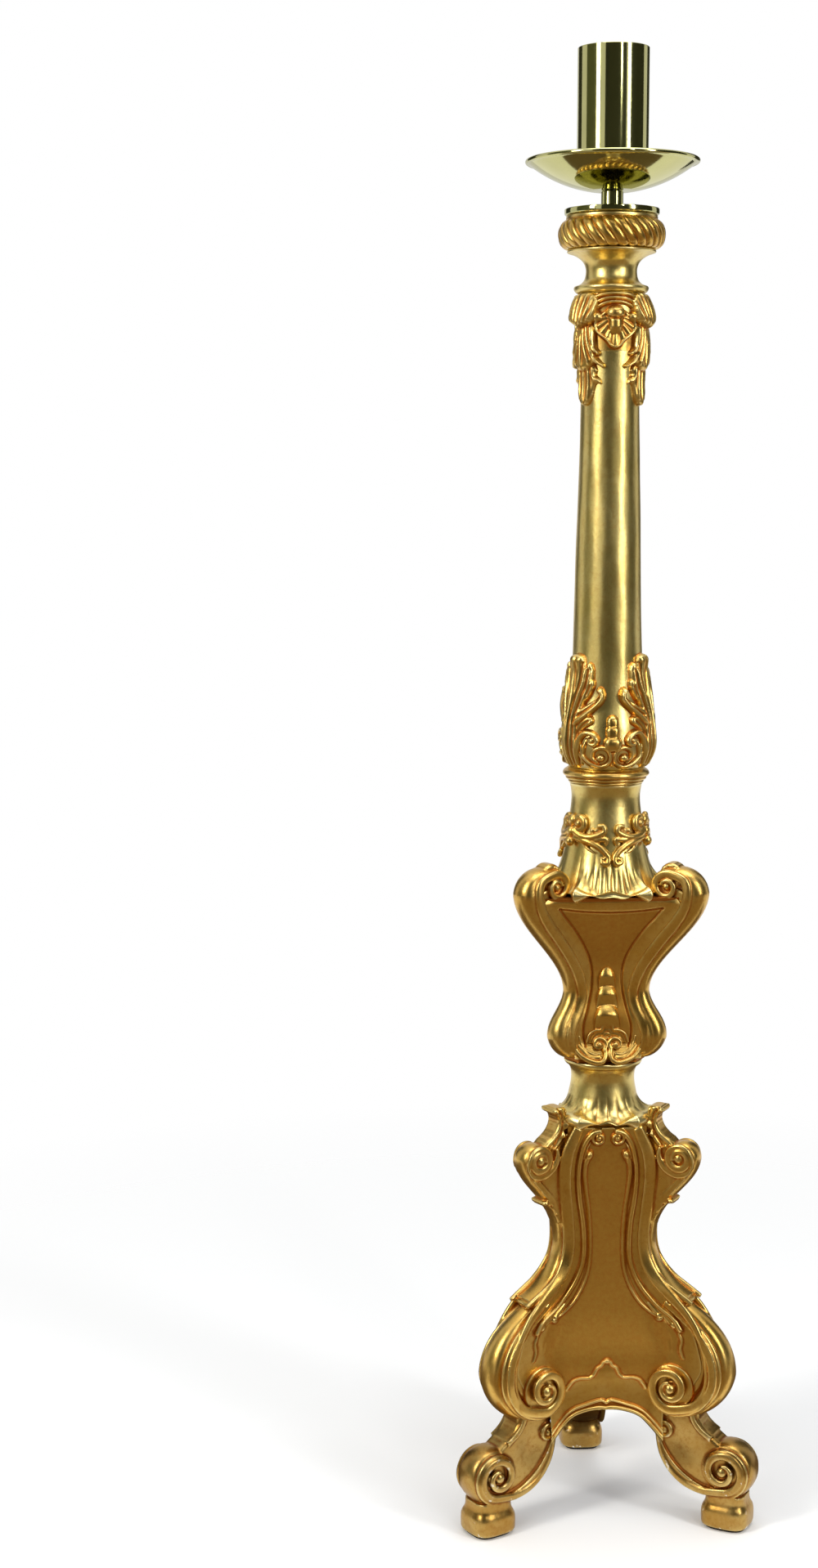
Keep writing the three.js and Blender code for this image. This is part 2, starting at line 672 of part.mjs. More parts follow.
// ---------------------------------------------------------------- vase
const vaseVolute = { r: VASE_VOLUTE_RADIUS, z: vaseTop + VASE_VOLUTE_LIFT };
const vaseWaist = { r: VASE_WAIST_REACH, z: vaseBottom + VASE_WAIST_RISE };
const vaseBelly = { r: VASE_BELLY_REACH, z: vaseBottom + VASE_BELLY_RISE };

// Faces of the vase's core; its panels stand proud of them between foot and rail.
const VASE_RAIL_HEIGHT = 11;
const VASE_FOOT_HEIGHT = 16;
const STEP_RISE = 0.1; // height of the sharp steps to the rail and to the foot
const aboveWaist = (share) => lerp(vaseWaist.z, vaseTop - VASE_RAIL_HEIGHT, share);
const vasePanelRows = [
  [vaseBottom + VASE_FOOT_HEIGHT, 19],
  [lerp(vaseBelly.z, vaseWaist.z, 0.17), 19.8],
  [lerp(vaseBelly.z, vaseWaist.z, 0.72), 16.4],
  [aboveWaist(0.06), 14.6],
  [aboveWaist(0.26), 14.8],
  [aboveWaist(0.46), 18],
  [aboveWaist(0.66), 23.4],
  [aboveWaist(0.84), 30],
  [aboveWaist(1), 36],
];
const vaseCoreRows = [
  [vaseBottom, 25],
  [vaseBottom + VASE_FOOT_HEIGHT - 4, 25],
  [vaseBottom + VASE_FOOT_HEIGHT - STEP_RISE, 22],
  ...vasePanelRows,
  [aboveWaist(1) + STEP_RISE, 41.5],
  [vaseTop - 3, 42.5],
  [vaseTop, 40],
];

const vaseCore = () => cut(triangularCore(vaseCoreRows, VASE_WAIST_WIDTH), [bore(vaseBottom - 1, vaseTop + 1)]);

const VASE_VOLUTE_STEPS = 7; // stations of the top volute

// Strap of a vase corner: top volute, broad shoulder, waist, belly and in at the foot.
function vasePath() {
  const curl = form(1.5, VASE_STRAP_WIDTH, 0.3);
  const top = form(1.9, VASE_STRAP_WIDTH, VASE_CROWN - 4);
  const wide = form(2.2, VASE_STRAP_WIDTH, VASE_CROWN);
  const slim = form(2.2, VASE_WAIST_WIDTH + 1, VASE_CROWN - 2.5);
  const belly = form(2.2, VASE_WAIST_WIDTH + 4, VASE_CROWN - 1.5);
  const start = { r: vaseVolute.r, z: vaseVolute.z + VASE_VOLUTE_SIZE };
  const out = { r: VASE_SHOULDER_REACH, z: vaseVolute.z - 5 };
  return chain(
    spiralRun(vaseVolute, -FRONT, 1, VASE_VOLUTE_SIZE, 3.6, 1, VASE_VOLUTE_STEPS, top, curl).reverse(),
    bezierRun([
      [start.r, start.z],
      [start.r + 10, start.z],
      [out.r, out.z + 9],
      [out.r, out.z],
    ], 2, top, wide),
    bezierRun([
      [out.r, out.z],
      [out.r, out.z - 24],
      [vaseWaist.r, vaseWaist.z + 32],
      [vaseWaist.r, vaseWaist.z],
    ], 5, wide, slim),
    bezierRun([
      [vaseWaist.r, vaseWaist.z],
      [vaseWaist.r, vaseWaist.z - 17],
      [vaseBelly.r, vaseBelly.z + 10],
      [vaseBelly.r, vaseBelly.z],
    ], 3, slim, belly),
    bezierRun([
      [vaseBelly.r, vaseBelly.z],
      [vaseBelly.r, vaseBelly.z - 9],
      [vaseBelly.r - 5, vaseBottom + 7],
      [vaseBelly.r - 13, vaseBottom + 7.5],
    ], 2, belly, form(2.2, VASE_WAIST_WIDTH, 2)),
  );
}

function vaseScrollBody(grow = 0) {
  const path = vasePath();
  const inner = 8; // well inside the core, which trims it
  const web = [
    ...outlineOf(path.slice(VASE_VOLUTE_STEPS + 2)),
    [inner, vaseBottom + 7.5],
    [inner, vaseTop - 12],
    [vaseVolute.r - 10, vaseTop - 4],
    [vaseVolute.r - 4, vaseVolute.z - VASE_VOLUTE_SIZE + 2],
    [vaseVolute.r + 3, vaseVolute.z],
  ];
  const upperWeb = [
    ...outlineOf(path.slice(VASE_VOLUTE_STEPS + 1, VASE_VOLUTE_STEPS + 4)),
    [VASE_SHOULDER_REACH - 10, vaseTop - 30],
    [inner + 25, vaseTop - 34],
    [inner + 25, vaseTop - 12],
    [vaseVolute.r - 10, vaseTop - 4],
    [vaseVolute.r - 4, vaseVolute.z - VASE_VOLUTE_SIZE + 2],
  ];
  const leaf = [
    [vaseVolute.r - 4, vaseVolute.z + 6],
    [vaseVolute.r - 7, vaseVolute.z + 15],
    [vaseVolute.r - 1, vaseVolute.z + 19.5],
    [vaseVolute.r + 6, vaseVolute.z + 17],
    [vaseVolute.r + 12, vaseVolute.z + 8],
  ];
  return join([
    strap(path, 1, grow),
    slab(web, VASE_WAIST_WIDTH - 1 + 2 * grow),
    slab(upperWeb, VASE_STRAP_WIDTH - 2 + 2 * grow),
    slab(leaf, VASE_STRAP_WIDTH - 12 + 2 * grow),
    disc(vaseVolute, VASE_VOLUTE_SIZE + grow, VASE_STRAP_WIDTH - 5 + 2 * grow),
    eye(vaseVolute, 3.4, VASE_STRAP_WIDTH + 2 + 2 * grow),
  ]);
}

const vaseScroll = () => cut(vaseScrollBody(), [
  turnedTo(triangularCore(vaseCoreRows, VASE_WAIST_WIDTH, GAP), -cornerAngle(0)),
  turnedTo(middleNeckBody(GAP), -cornerAngle(0)),
]);

// Half width of a vase scroll to each side, from its belly up.
const vaseSideRows = [
  [vaseBelly.z, (VASE_WAIST_WIDTH + 4) / 2],
  [vaseWaist.z, (VASE_WAIST_WIDTH + 1) / 2],
  [vaseTop, VASE_STRAP_WIDTH / 2],
];

// Panel of a vase face, with a border a little proud of its field.
function vasePanel() {
  const columnsAt = (z, half) => [-1, -0.88, -0.78, 0, 0.78, 0.88, 1].map((u) => u * half);
  const relief = (z, i) => ([2, 3, 4].includes(i) ? 0 : 0.8);
  return facePanel(vasePanelRows, VASE_PANEL_THICKNESS, (z) => valueAt(vaseSideRows, z), columnsAt, relief);
}

const vasePanelFace = (z) => valueAt(vasePanelRows, z) + GAP + VASE_PANEL_THICKNESS;

// ---------------------------------------------------------------- necks, rings and column
// Rises and falls three times round, highest at the faces, lowest at the corners.
const threefold = (angle) => Math.cos(SIDES * (angle - FRONT));
const flute = (angle) => Math.cos(SKIRT_FLUTES * (angle - FRONT));
const SKIRT_SEGMENTS = 30;

// Neck with a fluted shell skirt; rows are [r, z, threefold swell, flute depth].
function skirtedNeck(rows, grow) {
  return turnedRing(SKIRT_SEGMENTS, (angle) => {
    const outer = rows.map(([r, z, swell, depth], i) => {
      const end = (i === rows.length - 1 ? 1 : 0) - (i === 0 ? 1 : 0);
      return [r + grow + swell * threefold(angle) + depth * flute(angle), z + end * grow];
    });
    const reach = grow > 0 ? 1 : boreRadius;
    return [[reach, outer[0][1]], ...outer, [reach, outer[outer.length - 1][1]]];
  });
}

const middleNeckRows = [
  [MIDDLE_SKIRT_RADIUS, middleNeckBottom, 3.5, 1.1],
  [MIDDLE_SKIRT_RADIUS - 0.4, middleNeckBottom + 3, 3.5, 1.1],
  [MIDDLE_NECK_RADIUS + 13.5, middleNeckBottom + 11, 1.6, 1],
  [MIDDLE_NECK_RADIUS + 8.5, middleNeckBottom + 21, 0.6, 0.7],
  [MIDDLE_NECK_RADIUS + 4.6, middleNeckBottom + 40, 0, 0.2],
  [MIDDLE_NECK_RADIUS, middleNeckBottom + 76, 0, 0],
  [MIDDLE_NECK_RADIUS + 0.8, middleNeckTop - 4, 0, 0],
  [MIDDLE_NECK_RADIUS + 2.4, middleNeckTop, 0, 0],
];
const middleNeckBody = (grow = 0) => skirtedNeck(middleNeckRows, grow);
const middleNeckRadius = (z) => valueAt(middleNeckRows.map((row) => [row[1], row[0] + row[2] + row[3]]), z);

const lowerNeckRows = [
  [LOWER_SKIRT_RADIUS, lowerNeckBottom, 2, 1.1],
  [LOWER_SKIRT_RADIUS - 0.4, lowerNeckBottom + 3, 2, 1.1],
  [LOWER_NECK_RADIUS + 6.5, lowerNeckBottom + 9, 0.8, 0.9],
  [LOWER_NECK_RADIUS + 2.8, lowerNeckBottom + 16, 0, 0.5],
  [LOWER_NECK_RADIUS, lowerNeckBottom + 34, 0, 0],
  [LOWER_NECK_RADIUS + 1.5, lowerNeckTop - 8, 0, 0],
  [VASE_FOOT_RADIUS - 1, lowerNeckTop - 5, 0, 0],
  [VASE_FOOT_RADIUS, lowerNeckTop, 0, 0],
];

const beadRing = () => turned(20, [
  [MIDDLE_NECK_RADIUS + 2.6, beadRingBottom],
  [MIDDLE_NECK_RADIUS + 3.8, beadRingBottom + 2.5],
  [BEAD_RING_RADIUS - 0.8, beadRingBottom + 4.5],
  [BEAD_RING_RADIUS, beadRingBottom + 7],
  [BEAD_RING_RADIUS - 1, beadRingBottom + 9.8],
  [BEAD_RING_RADIUS - 3.4, beadRingBottom + BEAD_RING_HEIGHT],
]);

const columnRows = [
  [columnBottom, BEAD_RING_RADIUS - 4],
  [columnBottom + 5, BULB_RADIUS - 2.5],
  [columnBottom + BULB_RISE - 8, BULB_RADIUS],
  [columnBottom + BULB_RISE + 8, BULB_RADIUS - 0.8],
  [columnBottom + BULB_RISE + 28, BULB_RADIUS - 4],
  [columnBottom + BULB_RISE + 0.75 * BULB_TAPER, COLUMN_FOOT_RADIUS + 0.8],
  [columnBottom + BULB_RISE + BULB_TAPER, COLUMN_FOOT_RADIUS],
  [lerp(columnBottom + BULB_RISE + BULB_TAPER, columnTop - COLUMN_FLARE, 0.45),
    lerp(COLUMN_FOOT_RADIUS, COLUMN_TOP_RADIUS, 0.62)],
  [columnTop - COLUMN_FLARE, COLUMN_TOP_RADIUS],
  [columnTop - 0.36 * COLUMN_FLARE, COLUMN_TOP_RADIUS + 1],
  [columnTop, COLUMN_TOP_RADIUS + 2],
];
const columnShaft = () => turned(24, columnRows.map(([z, r]) => [r, z]));
const columnRadius = (z) => valueAt(columnRows, z);

const collar = () => turned(20, [
  [COLUMN_TOP_RADIUS + 2, collarBottom],
  [COLUMN_TOP_RADIUS + 4.4, collarBottom + 3],
  [COLUMN_TOP_RADIUS + 5.4, collarBottom + 5.2],
  [COLLAR_WAIST_RADIUS + 4, collarBottom + 7.5],
  [COLLAR_WAIST_RADIUS, collarBottom + 17],
  [COLLAR_WAIST_RADIUS + 1.6, collarBottom + 23],
  [COLLAR_WAIST_RADIUS + 6.5, collarBottom + 28.5],
  [COLLAR_LIP_RADIUS, collarBottom + COLLAR_HEIGHT - 2.2],
  [COLLAR_LIP_RADIUS, collarBottom + COLLAR_HEIGHT],
]);

// Ring of slanting gadroons: ridge and groove alternate, and both lean with the height.
function ropeRing() {
  const rise = ROPE_RING_HEIGHT - 3;
  const lean = (1.6 * 2 * Math.PI) / ROPE_RIDGES;
  const bulge = [[0, 0.3], [0.25, 0.76], [0.54, 1], [0.82, 0.72]];
  const root = COLLAR_LIP_RADIUS - 1.5;
  return turnedRing(2 * ROPE_RIDGES, (angle, k) => {
    const depth = k % 2 ? ROPE_DEPTH : 0;
    const body = bulge.map(([height, out]) => [
      lerp(root, ROPE_RING_RADIUS, out) - depth * out,
      ropeRingBottom + height * rise,
      -lean * height,
    ]);
    const flange = [[root + 1.6, ropeRingBottom + rise], [root + 1.6, ropeRingBottom + ROPE_RING_HEIGHT]];
    return bored([...body, ...flange], ropeRingBottom, ropeRingBottom + ROPE_RING_HEIGHT);
  });
}

// ---------------------------------------------------------------- applied carving
// Carved piece laid on a carrier. The carrier turns (a, z, lift) into a point: on a
// turned surface a is the angle from the front, on a face it is the distance sideways.
const onTurning = (radiusAt) => (a, z, lift) => {
  const r = radiusAt(z) + lift;
  return new THREE.Vector3(r * Math.sin(a), -r * Math.cos(a), z);
};
const onFace = (faceAt) => (x, z, lift) => new THREE.Vector3(x, -(faceAt(z) + lift), z);

function carving(carrier, columns, rows, place, relief) {
  const grid = (liftAt) => rows.map((v) =>
    range(columns + 1).map((i) => {
      const u = lerp(-1, 1, i / columns);
      const [a, z] = place(u, v);
      return carrier(a, z, liftAt(u, v));
    }));
  return plate(grid((u, v) => GAP + relief(u, v)), grid(() => GAP));
}

// Fractions from one height to another that stop at every row of a profile between
// them, and no further apart than the step.
function rowsThrough(profile, from, to, step) {
  const [low, high] = [Math.min(from, to), Math.max(from, to)];
  const stops = [low, ...profile.map((row) => row[0]).filter((z) => z > low && z < high), high];
  const heights = stops.slice(1).flatMap((z, i) => {
    const parts = Math.ceil((z - stops[i]) / step);
    return range(parts).map((j) => lerp(stops[i], z, j / parts));
  });
  return [...heights, high].map((z) => (z - from) / (to - from)).sort((a, b) => a - b);
}
const hump = (v) => Math.sin(Math.PI * v);

// Acanthus leaf cupping the bulb: a midrib, folded sides and a tip that leans out.
function lowerLeaf() {
  const low = columnBottom + CARVING_INSET;
  const high = low + LOWER_LEAF_HEIGHT;
  const spread = (v) => 0.42 + 0.42 * hump(Math.min(1, v * 1.5)) * (1 - v);
  return carving(
    onTurning(columnRadius), 4, rowsThrough(columnRows, low, high, 18),
    (u, v) => [u * spread(v) * (1 - 0.75 * v), lerp(low, high, v)],
    (u, v) => 1 + (7.5 * hump(0.12 + 0.8 * v) + 2 * v) * (1 - 0.72 * u * u),
  );
}

// Three stacked husks over a pair of small scrolls.
function lowerHusk() {
  const low = columnBottom + 2 * CARVING_INSET;
  const high = low + LOWER_HUSK_HEIGHT;
  return carving(
    onTurning(columnRadius), 4, rowsThrough(columnRows, low, high, 8),
    (u, v) => [u * (v < 0.4 ? 0.34 : 0.17 - 0.06 * v), lerp(low, high, v)],
    (u, v) => 1 + (v < 0.4 ? 3.4 : 4.4 - 1.6 * v) * (0.35 + 0.65 * Math.abs(hump(v * 3.5))) * (1 - 0.7 * u * u),
  );
}

// Two tiers of drooping leaves under the collar.
function upperLeaf() {
  const high = columnTop - CARVING_INSET;
  const low = high - UPPER_LEAF_HEIGHT;
  return carving(
    onTurning(columnRadius), 4, rowsThrough(columnRows, high, low, 14),
    (u, v) => [u * (0.62 - 0.38 * v), lerp(high, low, v)],
    (u, v) => 1 + (v < 0.32 ? 2 + 9 * v / 0.32 : 5.2 * hump(0.25 + 0.7 * v)) * (1 - 0.8 * u * u),
  );
}

// Shell-shaped drop between the leaf clusters.
function shellDrop() {
  const high = columnTop - 1.5 * CARVING_INSET;
  const low = high - SHELL_DROP_HEIGHT;
  return carving(
    onTurning(columnRadius), 4, rowsThrough(columnRows, high, low, 9),
    (u, v) => [u * (0.3 + 0.14 * hump(v)) * (v > 0.7 ? 1 - 2.6 * (v - 0.7) : 1), lerp(high, low, v)],
    (u, v) => 1 + (2.2 + 3 * hump(v)) * (1 - 0.6 * u * u),
  );
}

// Pair of C-scrolls draped from a corner of the middle neck towards the faces.
function neckScroll() {
  const centre = middleNeckBottom + 51;
  return carving(
    onTurning(middleNeckRadius), 12, [0, 0.5, 1],
    (u, v) => {
      const side = Math.abs(u);
      const middle = centre - 24 * side ** 1.4;
      const half = 3.5 + 6 * (1 - side) * (1 - side);
      return [u * 0.97, lerp(middle + half, middle - half, v)];
    },
    (u, v) => 0.8 + (2.2 + 3.6 * (1 - Math.abs(u)) + 1.6 * Math.abs(u) ** 6) * hump(0.15 + 0.7 * v),
  );
}

// Three husks and a trefoil down the narrow part of the vase's panel.
function vaseHusk() {
  const high = vaseWaist.z + 19;
  const low = vaseBottom + 20;
  return carving(
    onFace(vasePanelFace), 2, rowsThrough(vasePanelRows, high, low, 8),
    (u, v) => [u * (4.5 + 3.6 * v + (v > 0.72 ? 2.5 * hump((v - 0.72) / 0.4) : 0)), lerp(high, low, v)],
    (u, v) => 0.8 + (1.6 + 2.2 * Math.abs(hump(3 * v))) * (1 - 0.6 * u * u),
  );
}

// ---------------------------------------------------------------- brass top
function lathe(profile, segments) {
  const points = profile.map(([r, z]) => new THREE.Vector2(r, z));
  return new THREE.LatheGeometry(points, segments).rotateX(Math.PI / 2);
}

const tube = (inner, outer, bottom, top, segments) =>
  lathe([[inner, bottom], [outer, bottom], [outer, top], [inner, top], [inner, bottom]], segments);

const brassPlate = () => lathe([
  [boreRadius, plateBottom],
  [PLATE_RADIUS - 1.4, plateBottom],
  [PLATE_RADIUS, plateBottom + 1.6],
  [PLATE_RADIUS, plateBottom + PLATE_THICKNESS - 0.6],
  [PLATE_RADIUS - 0.6, plateBottom + PLATE_THICKNESS],
  [boreRadius, plateBottom + PLATE_THICKNESS],
  [boreRadius, plateBottom],
], 24);

// Shallow round dish, a part of a sphere with a flat middle and a rolled lip.
function dripPan() {
  const sphere = (PAN_RADIUS ** 2 + PAN_DEPTH ** 2) / (2 * PAN_DEPTH);
  const sag = (r) => sphere - Math.sqrt(sphere ** 2 - r ** 2);
  const rim = PAN_RADIUS - PAN_LIP;
  const steps = range(4).map((i) => lerp(PAN_FLAT_RADIUS, rim - PAN_LIP, i / 3));
  const under = steps.map((r) => [r, panBottom + sag(r) - sag(PAN_FLAT_RADIUS)]);
  const over = steps.map((r) => [r, panBottom + sag(r) - sag(PAN_FLAT_RADIUS) + PAN_WALL]).reverse();
  const lipZ = panBottom + sag(rim) - sag(PAN_FLAT_RADIUS) + PAN_WALL / 2;
  const lip = range(4).map((i) => {
    const a = lerp(-0.55, 0.7, i / 3) * Math.PI;
    return [rim + PAN_LIP * Math.cos(a), lipZ + PAN_LIP * Math.sin(a)];
  });
  const hole = [[boreRadius, panBottom + PAN_WALL], [boreRadius, panBottom]];
  return lathe([hole[1], ...under, ...lip, ...over, ...hole], 30);
}

const candleCup = () => tube(CUP_RADIUS - CUP_WALL, CUP_RADIUS, cupBottom, cupBottom + CUP_HEIGHT, 30);

// Thick brass floor of the cup, with a blind threaded hole for the rod's end.
function cupPlug() {
  const radius = CUP_RADIUS - CUP_WALL - GAP;
  return lathe([
    [0, cupBottom + THREAD_ENGAGEMENT + GAP],
    [boreRadius, cupBottom + THREAD_ENGAGEMENT + GAP],
    [boreRadius, cupBottom],
    [radius, cupBottom],
    [radius, cupBottom + CUP_PLUG_THICKNESS],
    [0, cupBottom + CUP_PLUG_THICKNESS],
  ], 20);
}

const rod = () =>
  new THREE.CylinderGeometry(ROD_RADIUS, ROD_RADIUS, rodTop - rodBottom, 16)
    .rotateX(Math.PI / 2)
    .translate(0, 0, (rodTop + rodBottom) / 2);

function hexNut() {
  const radius = NUT_ACROSS / Math.sqrt(3);
  const hexagon = range(6).map((i) => new THREE.Vector2(
    radius * Math.cos((i * Math.PI) / 3), radius * Math.sin((i * Math.PI) / 3)));
  const shape = new THREE.Shape(hexagon);
  shape.holes.push(new THREE.Path().absarc(0, 0, boreRadius, 0, 2 * Math.PI, true));
  return new THREE.ExtrudeGeometry(shape, { depth: NUT_HEIGHT, bevelEnabled: false, curveSegments: 8 })
    .translate(0, 0, nutTop - NUT_HEIGHT);
}

// ---------------------------------------------------------------- assembly
// The feet reach further behind the axis than before it, so the stand is moved forward
// until the origin lies under the middle of the whole outline.
const toe = 0.857 * FOOT_VOLUTE_SIZE + 7.1; // from the volute's eye to the crown of its strap
const footReach = FOOT_CENTRE_RADIUS + toe;
const frontReach = footReach * Math.cos(THIRD / 2) + 0.8 * (FOOT_WIDTH / 2) * Math.sin(THIRD / 2);
const stand = new THREE.Group();
stand.position.y = -(footReach - frontReach) / 2;

function add(name, geometry, material, angle = 0) {
  const mesh = new THREE.Mesh(geometry, material);
  mesh.name = name;
  mesh.rotation.z = angle;
  stand.add(mesh);
}

// Copies on the three faces or the three corners, numbered from the front or front right.
function addRound(name, geometry, material, angleAt) {
  range(SIDES).forEach((k) => add(`${name}_${k + 1}`, geometry, material, angleAt(k)));
}
const fromFrontToCorner = (k) => cornerAngle(k) - FRONT;

addRound('foot_felt', feltPad(), feltCloth, cornerAngle);
addRound('scroll_foot', scrollFoot(), gilt, cornerAngle);
add('base_core', baseCore(), gilt);
addRound('corner_scroll', cornerScroll(), gilt, cornerAngle);
addRound('base_panel', basePanel(), matteGilt, faceAngle);
add('lower_neck', skirtedNeck(lowerNeckRows, 0), gilt);
add('vase_core', vaseCore(), gilt);
addRound('vase_scroll', vaseScroll(), gilt, cornerAngle);
addRound('vase_panel', vasePanel(), matteGilt, faceAngle);
addRound('vase_husk', vaseHusk(), gilt, faceAngle);
add('middle_neck', middleNeckBody(), gilt);
addRound('neck_scroll', neckScroll(), gilt, fromFrontToCorner);
add('bead_ring', beadRing(), gilt);
add('column_shaft', columnShaft(), gilt);
addRound('lower_leaf', lowerLeaf(), gilt, fromFrontToCorner);
addRound('lower_husk', lowerHusk(), gilt, faceAngle);
addRound('upper_leaf', upperLeaf(), gilt, fromFrontToCorner);
addRound('shell_drop', shellDrop(), gilt, faceAngle);
add('column_collar', collar(), gilt);
add('rope_ring', ropeRing(), gilt);
add('brass_plate', brassPlate(), brass);
add('brass_stem', tube(boreRadius, STEM_RADIUS, stemBottom, stemBottom + STEM_HEIGHT, 16), brass);
add('drip_pan', dripPan(), brass);
add('cup_washer', tube(boreRadius, CUP_WASHER_RADIUS, cupWasherBottom,
  cupWasherBottom + CUP_WASHER_THICKNESS, 16), brass);
add('candle_cup', candleCup(), brass);
add('cup_plug', cupPlug(), brass);
add('tie_rod', rod(), steel);
add('rod_washer', tube(boreRadius, WASHER_RADIUS, washerTop - WASHER_THICKNESS, washerTop, 16), steel);
add('rod_nut', hexNut(), steel);

export default stand;
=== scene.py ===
# Carved giltwood torchere candle stand with a brass drip pan and candle cup.
# Numbers are millimetres from the stand's axis and the floor, turned into metres when a
# mesh is made; those of the studio, at the end, are metres. The front face looks to -Y;
# faces and corners come round three times.
import math
import bpy
import numpy as np
from mathutils import Matrix, Vector


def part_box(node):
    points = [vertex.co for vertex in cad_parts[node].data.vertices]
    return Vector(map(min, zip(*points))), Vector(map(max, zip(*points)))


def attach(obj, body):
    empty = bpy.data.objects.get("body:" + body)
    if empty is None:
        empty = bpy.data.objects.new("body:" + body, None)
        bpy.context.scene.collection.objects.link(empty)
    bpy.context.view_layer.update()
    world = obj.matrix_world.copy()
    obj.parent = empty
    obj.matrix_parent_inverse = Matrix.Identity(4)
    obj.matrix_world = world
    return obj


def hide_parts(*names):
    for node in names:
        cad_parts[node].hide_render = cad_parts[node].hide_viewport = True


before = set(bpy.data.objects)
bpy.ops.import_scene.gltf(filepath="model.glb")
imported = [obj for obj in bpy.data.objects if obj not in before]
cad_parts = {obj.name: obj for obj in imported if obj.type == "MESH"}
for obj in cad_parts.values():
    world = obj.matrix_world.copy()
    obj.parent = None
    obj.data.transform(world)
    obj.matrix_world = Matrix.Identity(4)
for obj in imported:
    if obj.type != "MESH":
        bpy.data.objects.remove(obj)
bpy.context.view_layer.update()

scene = bpy.context.scene
PI = math.pi
THIRD = 2 * PI / 3
MM = 0.001                             # a millimetre in metres
SUNK = -1.6                            # height of relief that stays under the skin
_lo, _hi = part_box("column_shaft")
AXIS_Y = (_lo.y + _hi.y) / 2           # the stand's axis, in metres


# ------------------------------------------------------------------ small maths
def lerp(a, b, f):
    return a + (b - a) * f


def fade(x, start, end):
    """0 before start, 1 after end and straight between them."""
    return np.clip((x - start) / (end - start), 0, 1)


def half_round(q):
    """Height of a half circle over q from -1 to 1; 0 outside it."""
    return np.sqrt(np.clip(1 - q**2, 0, 1))


def unit(v):
    """The rows of v at length 1."""
    return v / np.maximum(np.linalg.norm(v, axis=1), 1e-9)[:, None]


def hermite(t, a, slope_a, b, slope_b, span=1.0):
    """Cubic from a to b with its slopes at both ends, t from 0 to 1."""
    return ((2 * t**3 - 3 * t**2 + 1) * a + (t**3 - 2 * t**2 + t) * span * slope_a
            + (-2 * t**3 + 3 * t**2) * b + (t**3 - t**2) * span * slope_b)


def interp(x, rows):
    """Value of (x, value) rows at x, smooth between them."""
    xs, ys = np.array(rows, float).T
    slope = np.gradient(ys, xs)
    x = np.clip(np.asarray(x, float), xs[0], xs[-1])
    k = np.clip(np.searchsorted(xs, x, side="right") - 1, 0, len(xs) - 2)
    h = xs[k + 1] - xs[k]
    return hermite((x - xs[k]) / h, ys[k], slope[k], ys[k + 1], slope[k + 1], h)


def curve(points, step):
    """Centripetal Catmull-Rom through points of any dimension, about a step apart."""
    def places(a, b, **how):
        return np.linspace(0, 1, max(2, int(np.linalg.norm(b - a) / step) + 1), **how)[:, None]
    p = np.array(points, float)
    if len(p) == 2:
        return lerp(p[0], p[1], places(p[0], p[1]))
    p = np.vstack([2 * p[0] - p[1], p, 2 * p[-1] - p[-2]])
    out = []
    for i in range(1, len(p) - 2):
        p0, p1, p2, p3 = p[i - 1:i + 3]
        d = [max(np.linalg.norm(b - a), 1e-6) ** 0.5 for a, b in ((p0, p1), (p1, p2), (p2, p3))]
        m1 = d[1] * ((p1 - p0) / d[0] - (p2 - p0) / (d[0] + d[1]) + (p2 - p1) / d[1])
        m2 = d[1] * ((p2 - p1) / d[1] - (p3 - p1) / (d[1] + d[2]) + (p3 - p2) / d[2])
        out.append(hermite(places(p1, p2, endpoint=False), p1, m1, p2, m2))
    return np.vstack([*out, p[-2]])


def bezier(p0, p1, p2, p3, n):
    t = np.linspace(0, 1, n)[:, None]
    p0, p1, p2, p3 = (np.array(p, float) for p in (p0, p1, p2, p3))
    return ((1 - t)**3) * p0 + 3 * ((1 - t)**2) * t * p1 + 3 * (1 - t) * t**2 * p2 + t**3 * p3


def spiral(centre, start, sense, outer, inner, turns, n):
    f = np.linspace(0, 1, n)
    a = start + sense * f * turns * 2 * PI
    s = lerp(outer, inner, f)
    return np.stack([centre[0] + s * np.cos(a), centre[1] + s * np.sin(a)], 1)


def moved(line, right, up=0.0):
    return [(a + right, b + up) for a, b in line]


def blur(a, times):
    """Softens a grid of heights a little, along one side and then along the other."""
    for _ in range(2 * times):
        a = ((np.vstack([a[:1], a[:-1]]) + 2 * a + np.vstack([a[1:], a[-1:]])) / 4).T
    return a


# ------------------------------------------------------------------ relief drawn on a surface
def along(x, z, line):
    """Distance from a polyline, and how far along it the nearest place is, 0 to 1."""
    line = np.array(line, float)
    d = np.diff(line, axis=0)
    length = np.maximum(np.linalg.norm(d, axis=1), 1e-9)
    total = np.concatenate([[0], np.cumsum(length)])
    best = np.full(x.shape, 1e9)
    where = np.zeros(x.shape)
    for (ax, az), (dx, dz), size, start in zip(line, d, length, total):
        t = np.clip(((x - ax) * dx + (z - az) * dz) / size**2, 0, 1)
        dist = np.hypot(x - ax - t * dx, z - az - t * dz)
        near = dist < best
        best = np.where(near, dist, best)
        where = np.where(near, (start + t * size) / total[-1], where)
    return best, where


def ridge(x, z, line, width, height, ends=(1.0, 1.0), smooth=True):
    """Half-round bead along a line; ends are its share of width at its start and end."""
    dist, t = along(x, z, curve(line, 1.2) if smooth else line)
    taper = np.interp(t, [0, 0.25, 0.75, 1], [ends[0], 1, 1, ends[1]])
    return height * taper * half_round(dist / (width * taper + 1e-6))


def groove(x, z, line, width, depth, smooth=True):
    dist, _ = along(x, z, curve(line, 1.2) if smooth else line)
    return -depth * np.exp(-(dist / width)**2)


def dome(x, z, cx, cz, rx, rz, height, turn=0.0):
    c, s = math.cos(turn), math.sin(turn)
    u = ((x - cx) * c + (z - cz) * s) / rx
    v = (-(x - cx) * s + (z - cz) * c) / rz
    return height * np.sqrt(np.clip(1 - u**2 - v**2, 0, 1))


